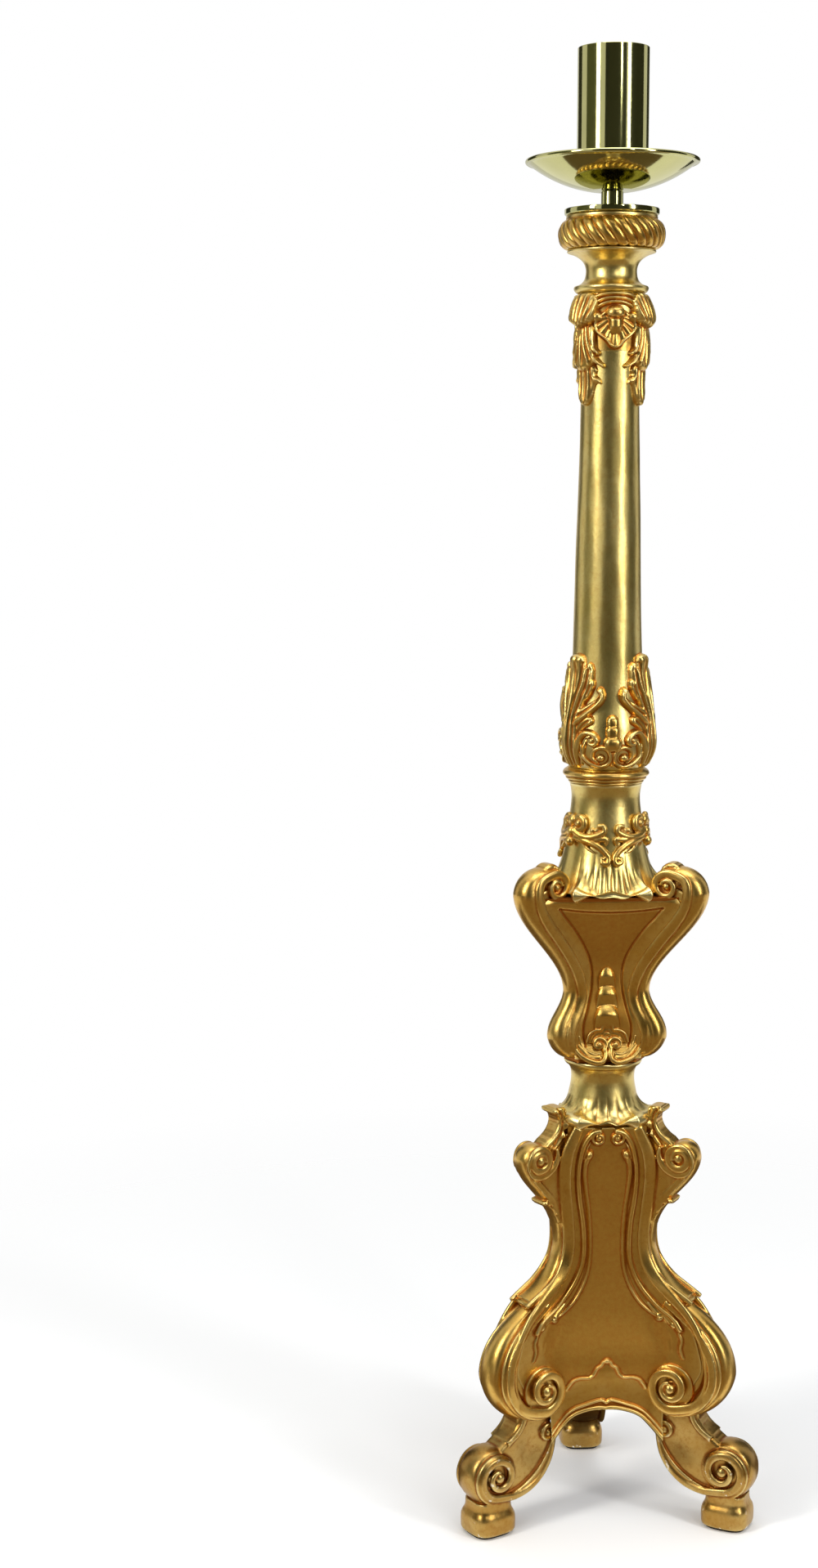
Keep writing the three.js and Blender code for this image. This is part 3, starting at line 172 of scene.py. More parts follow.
def inside(x, z, outline):
    """True where a point lies in a closed outline."""
    hit = np.zeros(x.shape, bool)
    pts = np.array(outline, float)
    for (x0, z0), (x1, z1) in zip(pts, np.roll(pts, -1, 0)):
        if z0 != z1:
            hit ^= ((z0 > z) != (z1 > z)) & (x < (x1 - x0) * (z - z0) / (z1 - z0) + x0)
    return hit


def pillow(x, z, outline, height, edge):
    """Rounded body inside an outline; under the skin outside it."""
    line = curve([*outline, outline[0]], 1.0)
    q = np.clip(along(x, z, line)[0] / edge, 0, 1)
    return np.where(inside(x, z, line), height * (0.25 + 0.75 * np.sqrt(1 - (1 - q)**2)), SUNK)


class Carving:
    """Heights over a grid, which one form after another raises or cuts."""

    def __init__(self, x, z, h):
        self.x, self.z, self.h = x, z, h

    def over(self, h, sunk=0.0):
        """Raises the heights to h where that is higher."""
        self.h = np.maximum(self.h, h - sunk)

    def ridge(self, *form, sunk=0.0, **how):
        self.over(ridge(self.x, self.z, *form, **how), sunk)

    def dome(self, *form, sunk=0.0):
        self.over(dome(self.x, self.z, *form), sunk)

    def groove(self, *form, **how):
        self.h = self.h + groove(self.x, self.z, *form, **how)


def leaf_of(x, z, outline, height, edge, lean=1.0, ribs=(), cuts=()):
    """Pillowed leaf. Where it has a body it carries ribs (width, height, lines...) and
    engraved lines (line, width, depth)."""
    h = pillow(x, z, outline, height, edge) * lean
    for width, rise, *lines in ribs:
        add = np.maximum.reduce([ridge(x, z, line, width, rise, (0.7, 0.6)) for line in lines])
        h = np.where(h > 0, h + add, h)
    for form in cuts:
        h = np.where(h > 0, h + groove(x, z, *form), h)
    return h


def marks(grooves, domes):
    """Relief of a flank: engraved lines and raised buds."""
    def relief(r, z):
        h = sum(groove(r, z, *g) for g in grooves)
        for form in domes:
            h = h + dome(r, z, *form)
        return h
    return relief


def scoop(depth, r0, z0, wide, high):
    """Relief of a flank: a soft hollow round (r0, z0)."""
    return lambda r, z: -depth * np.exp(-(((r - r0) / wide)**2 + ((z - z0) / high)**2))


# ------------------------------------------------------------------ closed skins
def quads(nu, nv, wrap_u=False, wrap_v=False):
    u = np.arange(nu if wrap_u else nu - 1)
    v = np.arange(nv if wrap_v else nv - 1)
    i, j = np.meshgrid(u, v, indexing="ij")
    i2, j2 = (i + 1) % nu, (j + 1) % nv
    return np.stack([i * nv + j, i2 * nv + j, i2 * nv + j2, i * nv + j2], -1).reshape(-1, 4)


def plate(front, back):
    """Closed plate between two grids of points; returns points and faces."""
    nu, nv = front.shape[:2]
    n = nu * nv
    f = quads(nu, nv)
    grid = np.arange(n).reshape(nu, nv)
    ring = np.concatenate([grid[:, 0], grid[-1, 1:], grid[-2::-1, -1], grid[0, -2:0:-1]])
    nxt = np.roll(ring, -1)
    side = np.stack([nxt, ring, ring + n, nxt + n], -1)
    pts = np.vstack([front.reshape(-1, 3), back.reshape(-1, 3)])
    return pts, np.vstack([f, f[:, ::-1] + n, side])


def capped(rings):
    """Skin through rings of points, closed round and with a fan at each end."""
    m, k = rings.shape[:2]
    pts = np.vstack([rings.reshape(-1, 3), rings[0].mean(0), rings[-1].mean(0)])
    i = np.arange(k)
    j = (i + 1) % k
    low, high = np.full(k, m * k), np.full(k, m * k + 1)
    top = (m - 1) * k
    return pts, np.vstack([quads(m, k, wrap_v=True), np.stack([j, i, low, low], -1),
                           np.stack([top + i, top + j, high, high], -1)])


def cord(points, step, radii, sides):
    """Round bar along a curve in space, with domed ends; radii are one number or a number
    at each share of its length."""
    p = curve(points, step)
    shares, radii = (list(radii), list(radii.values())) if isinstance(radii, dict) else ([0, 1], [radii] * 2)
    r = np.interp(np.linspace(0, 1, len(p)), shares, radii)
    t = unit(np.gradient(p, axis=0))
    p = np.vstack([p[0] - t[0] * r[0] * 0.7, p, p[-1] + t[-1] * r[-1] * 0.7])
    t = np.vstack([t[0], t, t[-1]])
    r = np.concatenate([[r[0] * 0.45], r, [r[-1] * 0.45]])
    v = np.array([0, 0, 1.0]) - t[0] * t[0][2]
    if np.linalg.norm(v) < 1e-3:
        v = np.array([1.0, 0, 0]) - t[0] * t[0][0]
    n = np.zeros_like(p)
    for i in range(len(p)):
        v = v - t[i] * (v @ t[i])
        v /= max(np.linalg.norm(v), 1e-9)
        n[i] = v
    a = np.linspace(0, 2 * PI, sides, endpoint=False)[None, :, None]
    return capped(p[:, None] + r[:, None, None] * (np.cos(a) * n[:, None] + np.sin(a) * np.cross(t, n)[:, None]))


def ball(centre, radii, n=14):
    """Closed ball or ellipsoid; radii are one number or three."""
    rx, ry, rz = np.broadcast_to(np.asarray(radii, float), (3,))
    v = np.linspace(0.04, PI - 0.04, n)
    u = np.linspace(0, 2 * PI, 2 * n, endpoint=False)
    vv, uu = np.meshgrid(v, u, indexing="ij")
    return capped(np.stack([centre[0] + rx * np.sin(vv) * np.cos(uu), centre[1] + ry * np.sin(vv) * np.sin(uu),
                            centre[2] + rz * np.cos(vv)], -1))


def prism(outline, half):
    """Slab of a closed (r, z) outline, centred on the plane of a corner."""
    pts = np.array(outline, float)
    n = len(pts)
    near = np.stack([pts[:, 0], np.full(n, -half), pts[:, 1]], -1)
    i = np.arange(n)
    j = (i + 1) % n
    faces = [list(range(n)), list(range(2 * n - 1, n - 1, -1)), *np.stack([j, i, i + n, j + n], -1).tolist()]
    return np.vstack([near, near * [1, -1, 1]]), faces


def drum(centre, radius, half, n):
    """Round slab under a volute."""
    return prism(spiral(centre, 0, 1, radius, radius, 1.0, n)[:-1], half)


def turning(rows, segs, lift=None, inner=5.5):
    """Turned body: rows run from its foot to its top at the outside, lift(angle, z)
    pushes the skin out along its normal. Angles count from the front."""
    rows = np.array(rows, float)
    a = np.linspace(0, 2 * PI, segs, endpoint=False)
    d = unit(np.gradient(rows, axis=0))
    rr = np.broadcast_to(rows[:, 0], (segs, len(rows)))
    zz = np.broadcast_to(rows[:, 1], (segs, len(rows)))
    if lift is not None:
        h = lift(a[:, None] + 0 * zz, zz)
        rr = rr + h * d[:, 1]
        zz = zz - h * d[:, 0]
    core = np.full((segs, 1), inner)
    rr = np.hstack([core, rr, core])
    zz = np.hstack([zz[:, :1], zz, zz[:, -1:]])
    pts = np.stack([rr * np.sin(a)[:, None], -rr * np.cos(a)[:, None], zz], -1)
    return pts.reshape(-1, 3), quads(segs, len(rows) + 2, wrap_u=True, wrap_v=True)


def profile(step, *runs):
    """Smooth runs of (r, z) points; each goes on, over an edge, from the end of the last."""
    out = [curve(runs[0], step)]
    for before, run in zip(runs, runs[1:]):
        out.append(curve([before[-1], *run], step)[1:])
    return np.vstack(out)


# ------------------------------------------------------------------ meshes and pieces
def points_of(mesh, kind="co"):
    values = np.empty(len(mesh.vertices) * 3)
    mesh.vertices.foreach_get(kind, values)
    return values.reshape(-1, 3)


def neighbours_of(mesh):
    """Function that gives each point the mean of its neighbours' values."""
    n = len(mesh.vertices)
    ends = np.empty(len(mesh.edges) * 2, np.int64)
    mesh.edges.foreach_get("vertices", ends)
    a, b = ends[::2], ends[1::2]
    count = np.bincount(ends, minlength=n).astype(float)[:, None] + 1e-9
    return lambda v: np.stack([np.bincount(a, v[b, k], n) + np.bincount(b, v[a, k], n) for k in range(3)], 1) / count


def mark(mesh, name, values):
    """Stores a number at each point, for the materials."""
    layer = mesh.attributes.new(name, "FLOAT", "POINT")
    layer.data.foreach_set("value", values.astype(np.float32))


def relief_of(mesh):
    """Stores how far each point stands out of its soft surroundings, for the gilding's deep hollows with painted shade
    and pale edges with painted highlight.
    """
    co, no, mean = points_of(mesh), points_of(mesh, "normal"), neighbours_of(mesh)
    soft = co
    total = 0.0
    # fine relief counts for more than broad relief
    for rounds, weight in ((4, 1.6), (10, 1.0)):
        for _ in range(rounds):
            soft = 0.35 * soft + 0.65 * mean(soft)
        total = total + np.einsum("ij,ij->i", co - soft, no) * weight
    full = 0.9 * MM
    mark(mesh, "stand_out", np.clip(total / full, -1, 1))


def volume(pts, faces):
    """Signed volume of a closed part: negative where its faces look inwards."""
    fans = [(q[0], q[k], q[k + 1]) for q in faces for k in range(1, len(q) - 1)]
    a, b, c = (pts[i] for i in np.array(fans).T)
    return float(np.einsum("ij,ij->", a, np.cross(b, c)))


def mesh_of(name, *parts):
    me = bpy.data.meshes.new(name)
    pts, faces, start = [], [], 0
    for v, f in parts:
        pts.append(np.asarray(v, float))
        f = f.tolist() if isinstance(f, np.ndarray) else f
        if volume(pts[-1], f) < 0:
            f = [q[::-1] for q in f]
        faces += [[start + i for k, i in enumerate(q) if q[k - 1] != i] for q in f]
        start += len(v)
    me.from_pydata((np.vstack(pts) * MM).tolist(), [], faces)
    me.validate()
    me.shade_smooth()
    me.update()
    return me


def soften(mesh, rounds):
    """Takes the steps of the voxels out of a mesh without shrinking it."""
    co, mean = points_of(mesh), neighbours_of(mesh)
    for _ in range(rounds):
        for f in (0.6, -0.62):
            co = co + f * (mean(co) - co)
    mesh.vertices.foreach_set("co", co.ravel())
    mesh.update()


def fused(name, parts, voxel, rounds):
    """One soft body of overlapping closed parts, like carving under gesso."""
    me = mesh_of(name + "_raw", *parts)
    ob = bpy.data.objects.new(name + "_raw", me)
    scene.collection.objects.link(ob)
    m = ob.modifiers.new("remesh", "REMESH")
    m.mode = "VOXEL"
    m.voxel_size = (voxel * 1.0) * MM
    dg = bpy.context.evaluated_depsgraph_get()
    out = bpy.data.meshes.new_from_object(ob.evaluated_get(dg))
    out.name = name
    bpy.data.objects.remove(ob)
    bpy.data.meshes.remove(me)
    soften(out, rounds)
    out.shade_smooth()
    return out


def put(name, mesh, material, node_name, body="stand", turn=0.0):
    """Places a copy of a mesh, its turn and place baked into its points."""
    me = mesh.copy()
    me.transform(Matrix.Translation((0, AXIS_Y, 0)) @ Matrix.Rotation(turn, 4, "Z"))
    me.materials.append(material)
    ob = bpy.data.objects.new(name, me)
    scene.collection.objects.link(ob)
    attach(ob, body)
    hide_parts(node_name)


# ------------------------------------------------------------------ materials
def srgb(r, g, b):
    return tuple(((c / 255 + 0.055) / 1.055)**2.4 if c > 10 else c / 255 / 12.92 for c in (r, g, b)) + (1,)


class Nodes:
    """An emptied node tree, with short names for the nodes used here."""

    def __init__(self, owner):
        owner.use_nodes = True
        self.tree = owner.node_tree
        self.tree.nodes.clear()

    def plug(self, value, socket):
        """Links an output to a socket, or sets the socket's own value."""
        if hasattr(value, "links"):
            self.tree.links.new(value, socket)
        else:
            socket.default_value = value

    def node(self, kind, *feeds, **values):
        """New node; feeds go to its first sockets, values to a socket or a setting by name."""
        n = self.tree.nodes.new("ShaderNode" + kind)
        for k, v in values.items():
            if k in n.inputs:
                n.inputs[k].default_value = v
            else:
                setattr(n, k, v)
        for value, socket in zip(feeds, n.inputs):
            self.plug(value, socket)
        return n

    def maths(self, operation, *values):
        return self.node("Math", *values, operation=operation).outputs[0]

    def ramp(self, fac, *stops):
        """Grey ramp through two stops of (place, value)."""
        r = self.node("ValToRGB", fac)
        for el, (pos, v) in zip(r.color_ramp.elements, stops):
            el.position = pos
            el.color = (v, v, v, 1)
        return r.outputs[0]

    def mix(self, fac, a, b):
        m = self.node("Mix", fac, data_type="RGBA")
        self.plug(a, m.inputs[6])
        self.plug(b, m.inputs[7])
        return m.outputs[2]


class Paint(Nodes):
    """A Principled material whose textures lie in the piece's own space."""

    def __init__(self, name):
        self.material = bpy.data.materials.new(name)
        super().__init__(self.material)
        self.bsdf = self.node("BsdfPrincipled")
        self.out = self.node("OutputMaterial", self.bsdf.outputs[0])

    def layer(self, name):
        return self.node("Attribute", attribute_name=name).outputs["Fac"]

    def noise(self, scale, detail, rough, distortion=0.0):
        if not hasattr(self, "coord"):
            self.coord = self.node("TexCoord").outputs["Object"]
        return self.node("TexNoise", self.coord, Scale=scale, Detail=detail, Roughness=rough,
                         Distortion=distortion).outputs["Fac"]

    def bump(self, height, strength, distance=0.0006):
        bump = self.node("Bump", Strength=strength, Distance=distance)
        self.plug(height, bump.inputs["Height"])
        self.plug(bump.outputs[0], self.bsdf.inputs["Normal"])

    def finish(self, colour, rough, metal=0.0):
        for name, value in (("Base Color", colour), ("Roughness", rough), ("Metallic", metal)):
            self.plug(value, self.bsdf.inputs[name])
        return self.material


def gilding(name, gold, deep, pale, rough, field=None, chips=False):
    """Leaf over red clay: deep colour in the hollows, partly the clay and partly painted shade, and pale metal on the
    edges, partly rubbed leaf and partly painted highlight.
    field is the colour of the matte ground, where the mesh's "matte" layer asks for it."""
    p = Paint(name)
    out = p.layer("stand_out")
    cloud, leaf = p.noise(22, 5, 0.6, 0.6), p.noise(75, 3, 0.55, 1.2)
    fine, grain = p.noise(300, 4, 0.65), p.noise(1000, 3, 0.6)
    worn = p.mix(0.42, gold, deep)
    col = p.mix(p.ramp(cloud, (0.36, 0), (0.66, 0.55)), gold, p.mix(0.4, gold, pale))
    col = p.mix(p.ramp(leaf, (0.52, 0), (0.68, 0.34)), col, worn)
    col = p.mix(p.ramp(fine, (0.50, 0), (0.66, 0.40)), col, worn)
    if field is not None:
        matte = p.layer("matte")
        ground = p.mix(p.ramp(fine, (0.35, 0), (0.68, 0.6)), field, p.mix(0.55, field, deep))
        col = p.mix(matte, col, ground)
    # painted shade: the hollows take the deep colour, partly red clay showing through and partly shade painted in
    hollow = p.maths("ADD", p.maths("MULTIPLY", out, -1.5), p.maths("MULTIPLY_ADD", fine, 0.5, -0.25))
    hollow = p.ramp(hollow, (0.08, 0), (0.85, 0.85))
    # painted highlight: what stands out turns pale, partly leaf rubbed bright and partly a highlight painted in
    edge = p.ramp(p.maths("ADD", out, p.maths("MULTIPLY_ADD", grain, 0.5, -0.25)), (0.22, 0), (0.8, 0.5))
    col = p.mix(hollow, p.mix(edge, col, pale), deep)
    metal = 1.0
    if chips:
        # pale gesso shows in spots on what stands out, low on the feet
        height = p.node("SeparateXYZ", p.coord).outputs[2]
        low = p.ramp(p.maths("MULTIPLY", height, 10.0), (0.25, 1), (0.9, 0))
        spots = p.ramp(p.noise(190, 2, 0.4, 0.4), (0.655, 0), (0.675, 1))
        chip = p.maths("MULTIPLY", spots, p.maths("MULTIPLY", low, p.ramp(out, (0.15, 0), (0.4, 1))))
        col = p.mix(chip, col, srgb(236, 228, 208))
        metal = p.maths("MULTIPLY_ADD", chip, -0.9, 1.0)
    r = p.maths("MULTIPLY_ADD", cloud, 0.14, rough - 0.07)
    for value, weight in ((fine, 0.08), (hollow, 0.20)):
        r = p.maths("ADD", r, p.maths("MULTIPLY", value, weight))
    if field is not None:
        r = p.maths("MULTIPLY_ADD", matte, 0.26, r)
    p.bump(p.maths("ADD", p.maths("MULTIPLY", fine, 0.8), p.maths("MULTIPLY", grain, 0.4)), 0.22)
    return p.finish(col, r, metal)


def brass(name, colour, rough):
    p = Paint(name)
    cloud, fine = p.noise(30, 4, 0.5), p.noise(400, 3, 0.5)
    darker = tuple(c * 0.86 for c in colour[:3]) + (1,)
    p.bump(p.noise(18, 2, 0.5), 0.05)
    return p.finish(p.mix(p.ramp(cloud, (0.3, 0), (0.75, 1)), colour, darker),
                    p.maths("MULTIPLY_ADD", fine, 0.06, rough - 0.03), 1.0)


def plain(name, colour, dark, rough, metal, scale):
    p = Paint(name)
    n = p.noise(scale, 4, 0.6)
    p.bump(n, 0.3, 0.0005)
    return p.finish(p.mix(n, colour, dark), p.maths("MULTIPLY_ADD", n, 0.2, rough - 0.1), metal)


# DEEP is the red clay and the painted shade of the hollows, PALE the rubbed leaf and the painted highlight of the edges
GOLD, DEEP, PALE = srgb(214, 170, 82), srgb(176, 98, 30), srgb(244, 224, 150)
GILT = gilding("gilded_wood", GOLD, DEEP, PALE, 0.26)
TURNED_GILT = gilding("gilded_turning", srgb(228, 202, 118), srgb(182, 108, 36), srgb(248, 234, 176), 0.27)
# painted shade: the feet's gold is a darker copy of the gilding, for the feet low by the floor
FOOT_GILT_SHADED = gilding("gilded_foot", srgb(170, 128, 58), srgb(138, 72, 22), PALE, 0.27, chips=True)
MATTE = gilding("matte_gilding", GOLD, DEEP, PALE, 0.28, field=srgb(196, 150, 66))
BRASS = brass("polished_brass", srgb(206, 202, 138), 0.09)
STEEL = plain("steel", srgb(130, 130, 132), srgb(96, 94, 92), 0.4, 1.0, 300)
FELT = plain("felt", srgb(46, 42, 38), srgb(28, 25, 22), 0.95, 0.0, 1500)


# ------------------------------------------------------------------ straps, bands and flanks
def plain_crown(u):
    """Height of a strap's crown across it, with a low rim at each side."""
    a = np.abs(u)
    return half_round(a / 0.84)**0.9 + 0.10 * np.exp(-((a - 0.95) / 0.05)**2)


def lobe_crown(u):
    """Broad roll, a groove, a second low roll and the rim, from the middle outwards."""
    a = np.abs(u)
    second = 0.34 * half_round((a - 0.765) / 0.125)
    return np.maximum(half_round(a / 0.60)**0.8, second) - 0.10 * np.exp(-((a - 0.62) / 0.03)**2)


def stations(first, *legs):
    """Rows of (r, z, half thickness, width, crown) through legs that go on from each
    other. A leg is its path and the last three at its end; first has them at the start."""
    rows = []
    for path, *last in legs:
        path = path[1:] if rows else path
        f = np.linspace(0, 1, len(path))
        rows.append(np.column_stack([path, *(lerp(a, b, f) for a, b in zip(first, last))]))
        first = last
    return np.vstack(rows)


def strap(rows, section=plain_crown, outside=1):
    """Band across a corner's plane whose outer face is drawn by a section; outside is 1
    where that face lies to the left of its path, or -1."""
    s = np.asarray(rows, float)
    s = s[np.concatenate([[True], np.linalg.norm(np.diff(s[:, :2], axis=0), axis=1) > 1e-4])]
    t = unit(np.gradient(s[:, :2], axis=0))
    out = np.stack([-t[:, 1], t[:, 0]], 1) * outside
    half, side, crown = s[:, 2:3], s[:, 3:4] / 2, s[:, 4:5]
    u = np.sin(np.linspace(-PI / 2, PI / 2, 45))
    lifts = half + crown * section(u)
    lifts[:, [0, -1]] = half * 0.4
    lifts = np.hstack([-half, lifts, -half])
    across = np.hstack([-side, side * u, side])
    return capped(np.stack([s[:, :1] + out[:, :1] * lifts, across, s[:, 1:2] + out[:, 1:] * lifts], -1))


def band(rows, thick, step=1.2):
    """Ribbon through rows of (r, y, z, tilt, half width). The tilt of its face is in
    degrees, from sideways (0) towards outwards (90)."""
    s = curve(rows, step)
    p = s[:, :3]
    t = unit(np.gradient(p, axis=0))
    tilt = np.radians(s[:, 3])
    n = np.stack([np.sin(tilt), np.cos(tilt), 0 * tilt], 1)
    n = unit(n - t * np.einsum("ij,ij->i", n, t)[:, None])
    a = np.linspace(0, 2 * PI, 20, endpoint=False)
    wide, high = (np.sign(v) * np.abs(v)**0.75 for v in (np.cos(a), np.sin(a)))
    high = np.where(high > 0, high * thick, high * 2.2)
    return capped(p[:, None] + s[:, 4, None, None] * wide[None, :, None] * np.cross(t, n)[:, None]
                  + high[None, :, None] * n[:, None])


def curled(rows, centre, start, sense, radii, y, tilt, widths):
    """Adds a spiral end to a band: one radius and half width for each quarter turn."""
    q = np.arange(len(radii))
    fine = np.linspace(0, len(radii) - 1, 6 * len(radii))
    rad, wid = (interp(fine, list(zip(q, v))) for v in (radii, widths))
    ys = lerp(y[0], y[1], fine / fine[-1])
    return list(rows) + [(centre[0] + a * math.cos(g), b, centre[1] + a * math.sin(g), tilt, c)
                         for a, b, c, g in zip(rad, ys, wid, start + sense * fine * PI / 2)]


def mirrored(part):
    """The part and its copy on the other side of the corner's plane."""
    pts, faces = part
    return [part, (pts * [1, -1, 1], faces[:, ::-1])]


def bands(*ribbons):
    """Pairs of ribbons, each given as band takes it."""
    return [part for ribbon in ribbons for part in mirrored(band(*ribbon))]


def balls(*eyes):
    """Pairs of balls at (r, y, z), each given as ball takes it."""
    return [part for eye in eyes for part in mirrored(ball(*eye))]


def flank(outline, half, edge, relief=None):
    """Body of an (r, z) outline with pillowed sides: half is its half thickness, edge
    the width of its rounded border, relief(r, z) what its sides carry."""
    step = 0.8                         # between the points of its sides
    line = curve([*outline, outline[0]], 1.0)
    lo, hi = line.min(0) - step, line.max(0) + step
    rr, zz = np.meshgrid(*(np.arange(a, b + step, step) for a, b in zip(lo, hi)), indexing="ij")
    hit = inside(rr, zz, line)
    q = np.clip(along(rr, zz, line)[0] / edge, 0, 1)
    h = half * (0.45 + 0.55 * np.sqrt(1 - (1 - q)**2))
    if relief is not None:
        h = h + relief(rr, zz)
    cell = hit[:-1, :-1] & hit[1:, :-1] & hit[1:, 1:] & hit[:-1, 1:]
    total, m = rr.size, rr.shape[1]
    i, j = np.nonzero(cell)
    f = np.stack([i * m + j, (i + 1) * m + j, (i + 1) * m + j + 1, i * m + j + 1], -1)
    pad = np.pad(cell, 1)
    walls = []
    for di, dj, a, b in ((-1, 0, 3, 0), (1, 0, 1, 2), (0, -1, 0, 1), (0, 1, 2, 3)):
        e = f[~pad[i + 1 + di, j + 1 + dj]]
        walls.append(np.stack([e[:, b], e[:, a], e[:, a] + total, e[:, b] + total], -1))
    near = np.stack([rr, -h, zz], -1).reshape(-1, 3)
    return np.vstack([near, near * [1, -1, 1]]), np.vstack([f, f[:, ::-1] + total, *walls])


# ------------------------------------------------------------------ base: corner scrolls
BIG = (69.5, 115.7)                    # eye of the big volute, (r, z)
SHOULDER = (71.5, 310.0)
WAIST = (43.0, 236.0)
CORE = [(97, 34.5), (125, 35), (136, 38), (144, 36.8), (158.7, 33), (178, 29.4), (205, 26.5), (236, 25.6), (286, 27),
    (325, 29.5), (336, 30)]
# smooth side band from under the lower neck to the big volute: r, y, z, tilt, half width
SIDE_BAND = [(38.5, 18.0, 334, 30, 4.0), (42.0, 16.0, 325, 32, 4.6), (46.0, 14.0, 314, 36, 5.0),
    (47.8, 12.6, 302, 38, 5.2), (47.6, 11.8, 288, 40, 5.2), (45.2, 11.4, 268, 42, 5.2), (42.8, 11.4, 248, 42, 5.2),
    (42.6, 11.6, 234, 40, 5.2), (45.0, 12.0, 221, 34, 5.2), (51.0, 12.6, 210, 26, 5.0), (60.0, 13.4, 200, 16, 4.6),
    (72.0, 14.2, 189.5, 8, 4.2), (84.0, 15.0, 178, 2, 3.6), (95.0, 15.8, 161, 0, 3.0), (101.5, 16.8, 140, 0, 2.9),
    (101, 17.4, 120, 0, 3.2), (91, 17.8, 104, 0, 3.9)]


def corner_scroll():
    start = (SHOULDER[0] + 9.5, SHOULDER[1])
    curl = spiral(SHOULDER, 0, 1, 9.5, 3.6, 1.0, 40)[::-1]
    fall = bezier(start, (start[0], start[1] - 22), (WAIST[0], WAIST[1] + 38), WAIST, 44)
    end = (79.0, 188.0)
    flare = bezier(WAIST, (WAIST[0], WAIST[1] - 22), (end[0] - 20, end[1] + 9), end, 34)
    upper = stations((1.7, 16, 0.4), (curl, 2.2, 20, 3.4), (fall, 2.4, 15, 2.6), (flare, 2.4, 24, 2.8))
    top = bezier((62, 186.5), (84.7, 172.7), (107, 158.2), (107, 131.2), 38)
    turn = bezier((107, 131.2), (107, 111.2), (89.5, 94.2), (69.5, 94.2), 28)
    volute = spiral(BIG, -PI / 2, -1, 21.5, 12.0, 0.6, 40)
    lower = stations((2.4, 26, 5.5), (top, 3.4, 42, 9.5), (turn, 3.0, 34, 3.0), (volute, 2.0, 30, 0.5))
    inner = 20
    upper_web = [*fall, *flare[1:], (inner, 184), (inner, 327), (40, 331), (48, 322), (60, 316), (71.5, 318)]
    lower_web = [*top, *turn[1:], (57.5, 102), (inner, 105), (inner, 200), (60, 194), (74, 188)]
    hollow = [(50, 190), (62, 186), (76, 178), (88, 166), (96, 152), (99, 136), (96, 120), (86, 108), (50, 108)]
    parts = [
        strap(upper),
        strap(lower, lobe_crown),
        prism(upper_web, 8.2),
        prism(lower_web, 9.4),
        flank(hollow, 12.2, 3.0, scoop(1.8, 84, 146, 10, 16)),
        drum(BIG, 19.0, 14.6, 48),
        drum(SHOULDER, 8.6, 8.0, 30),
    ]
    ribbon = curled(SIDE_BAND, BIG, -PI / 2, -1, (18.2, 15.2, 13.2, 10.6, 8.6, 6.6, 5.4), (18.2, 20.2),
        0, (4.3, 3.8, 3.5, 3.2, 2.6, 2.0, 1.2))
    parts += bands((ribbon, 2.0))
    parts += balls(((BIG[0] + 0.3, 18.2, BIG[1]), (4.6, 4.4, 4.6)))
    # shoulder volute: its ribbon, its eye and the leaf that wraps it from below
    roll = [(82.6, 9.2, 302.5, 0, 1.0), (82.4, 9.8, 308, 0, 2.0)]
    roll = curled(roll, SHOULDER, 0.35, 1, (9.6, 9.0, 8.8, 8.4, 7.2, 5.6, 4.6), (10.2, 11.4),
        0, (2.6, 3.1, 3.2, 3.0, 2.4, 1.9, 1.1))
    parts += bands((roll, 1.7, 0.9))
    parts += balls(((SHOULDER[0], 9.6, SHOULDER[1]), (4.2, 3.8, 4.2)))
    wrapping = [(81.6, 8.8, 302.4, 0, 1.4), (77.8, 9.4, 297.8, 0, 2.4), (70, 9.8, 296, 0, 3.0),
        (62, 10.2, 299, 0, 3.2), (56.6, 10.6, 305, 6, 2.8), (54.6, 11, 312, 10, 2.0), (55.4, 10.6, 318, 10, 1.0)]
    parts += bands((wrapping, 1.8, 0.9))
    # leaf on the shoulder, with a hooked tip and two round lobes on its inner side
    leaf = [(56.5, 350.6), (51, 351.6), (45.5, 351), (42.4, 347.6), (43.0, 341), (40.4, 336.6), (42.6, 332.6),
        (45.4, 330.0), (44.4, 326.4), (47.6, 321.4), (52.5, 317), (60, 315), (67.5, 318.6), (64, 323.4), (58, 327.6),
        (53.4, 332.6), (51.4, 338.4), (52.6, 343.6), (57.4, 347.2)]
    leaf_marks = marks([([(53, 350), (48.6, 344), (47.6, 335), (51, 326), (57, 318)], 0.9, 2.2), ([(46, 350),
        (45.4, 342), (45.6, 334)], 0.7, 1.5), ([(49, 331), (52.6, 325.4), (60, 319.6)], 0.7, 1.5)],
        [(43.8, 335, 3.4, 3.6, 2.2), (46.4, 327.4, 3.0, 3.0, 2.0), (54.6, 348.6, 3.2, 2.6, 2.2)])
    parts.append(flank(leaf, 8.8, 2.6, leaf_marks))
    low_leaf = [(78, 303), (76.8, 297), (70.6, 291), (65.6, 284.4), (62.8, 278.6), (64.0, 275.2), (67.6, 273.4),
        (66.4, 270.0), (61.4, 268.6), (57.0, 264.4), (53, 258), (49, 250), (50, 268), (54, 284), (58, 298)]
    low_marks = marks([([(70, 298), (63, 288), (59.4, 278), (57.4, 268)], 0.8, 1.9), ([(62, 298), (57.6, 286),
        (54.6, 272), (52, 260)], 0.8, 1.9)], [(64.6, 272.6, 3.0, 2.6, 2.2)])
    parts.append(flank(low_leaf, 8.0, 2.4, low_marks))
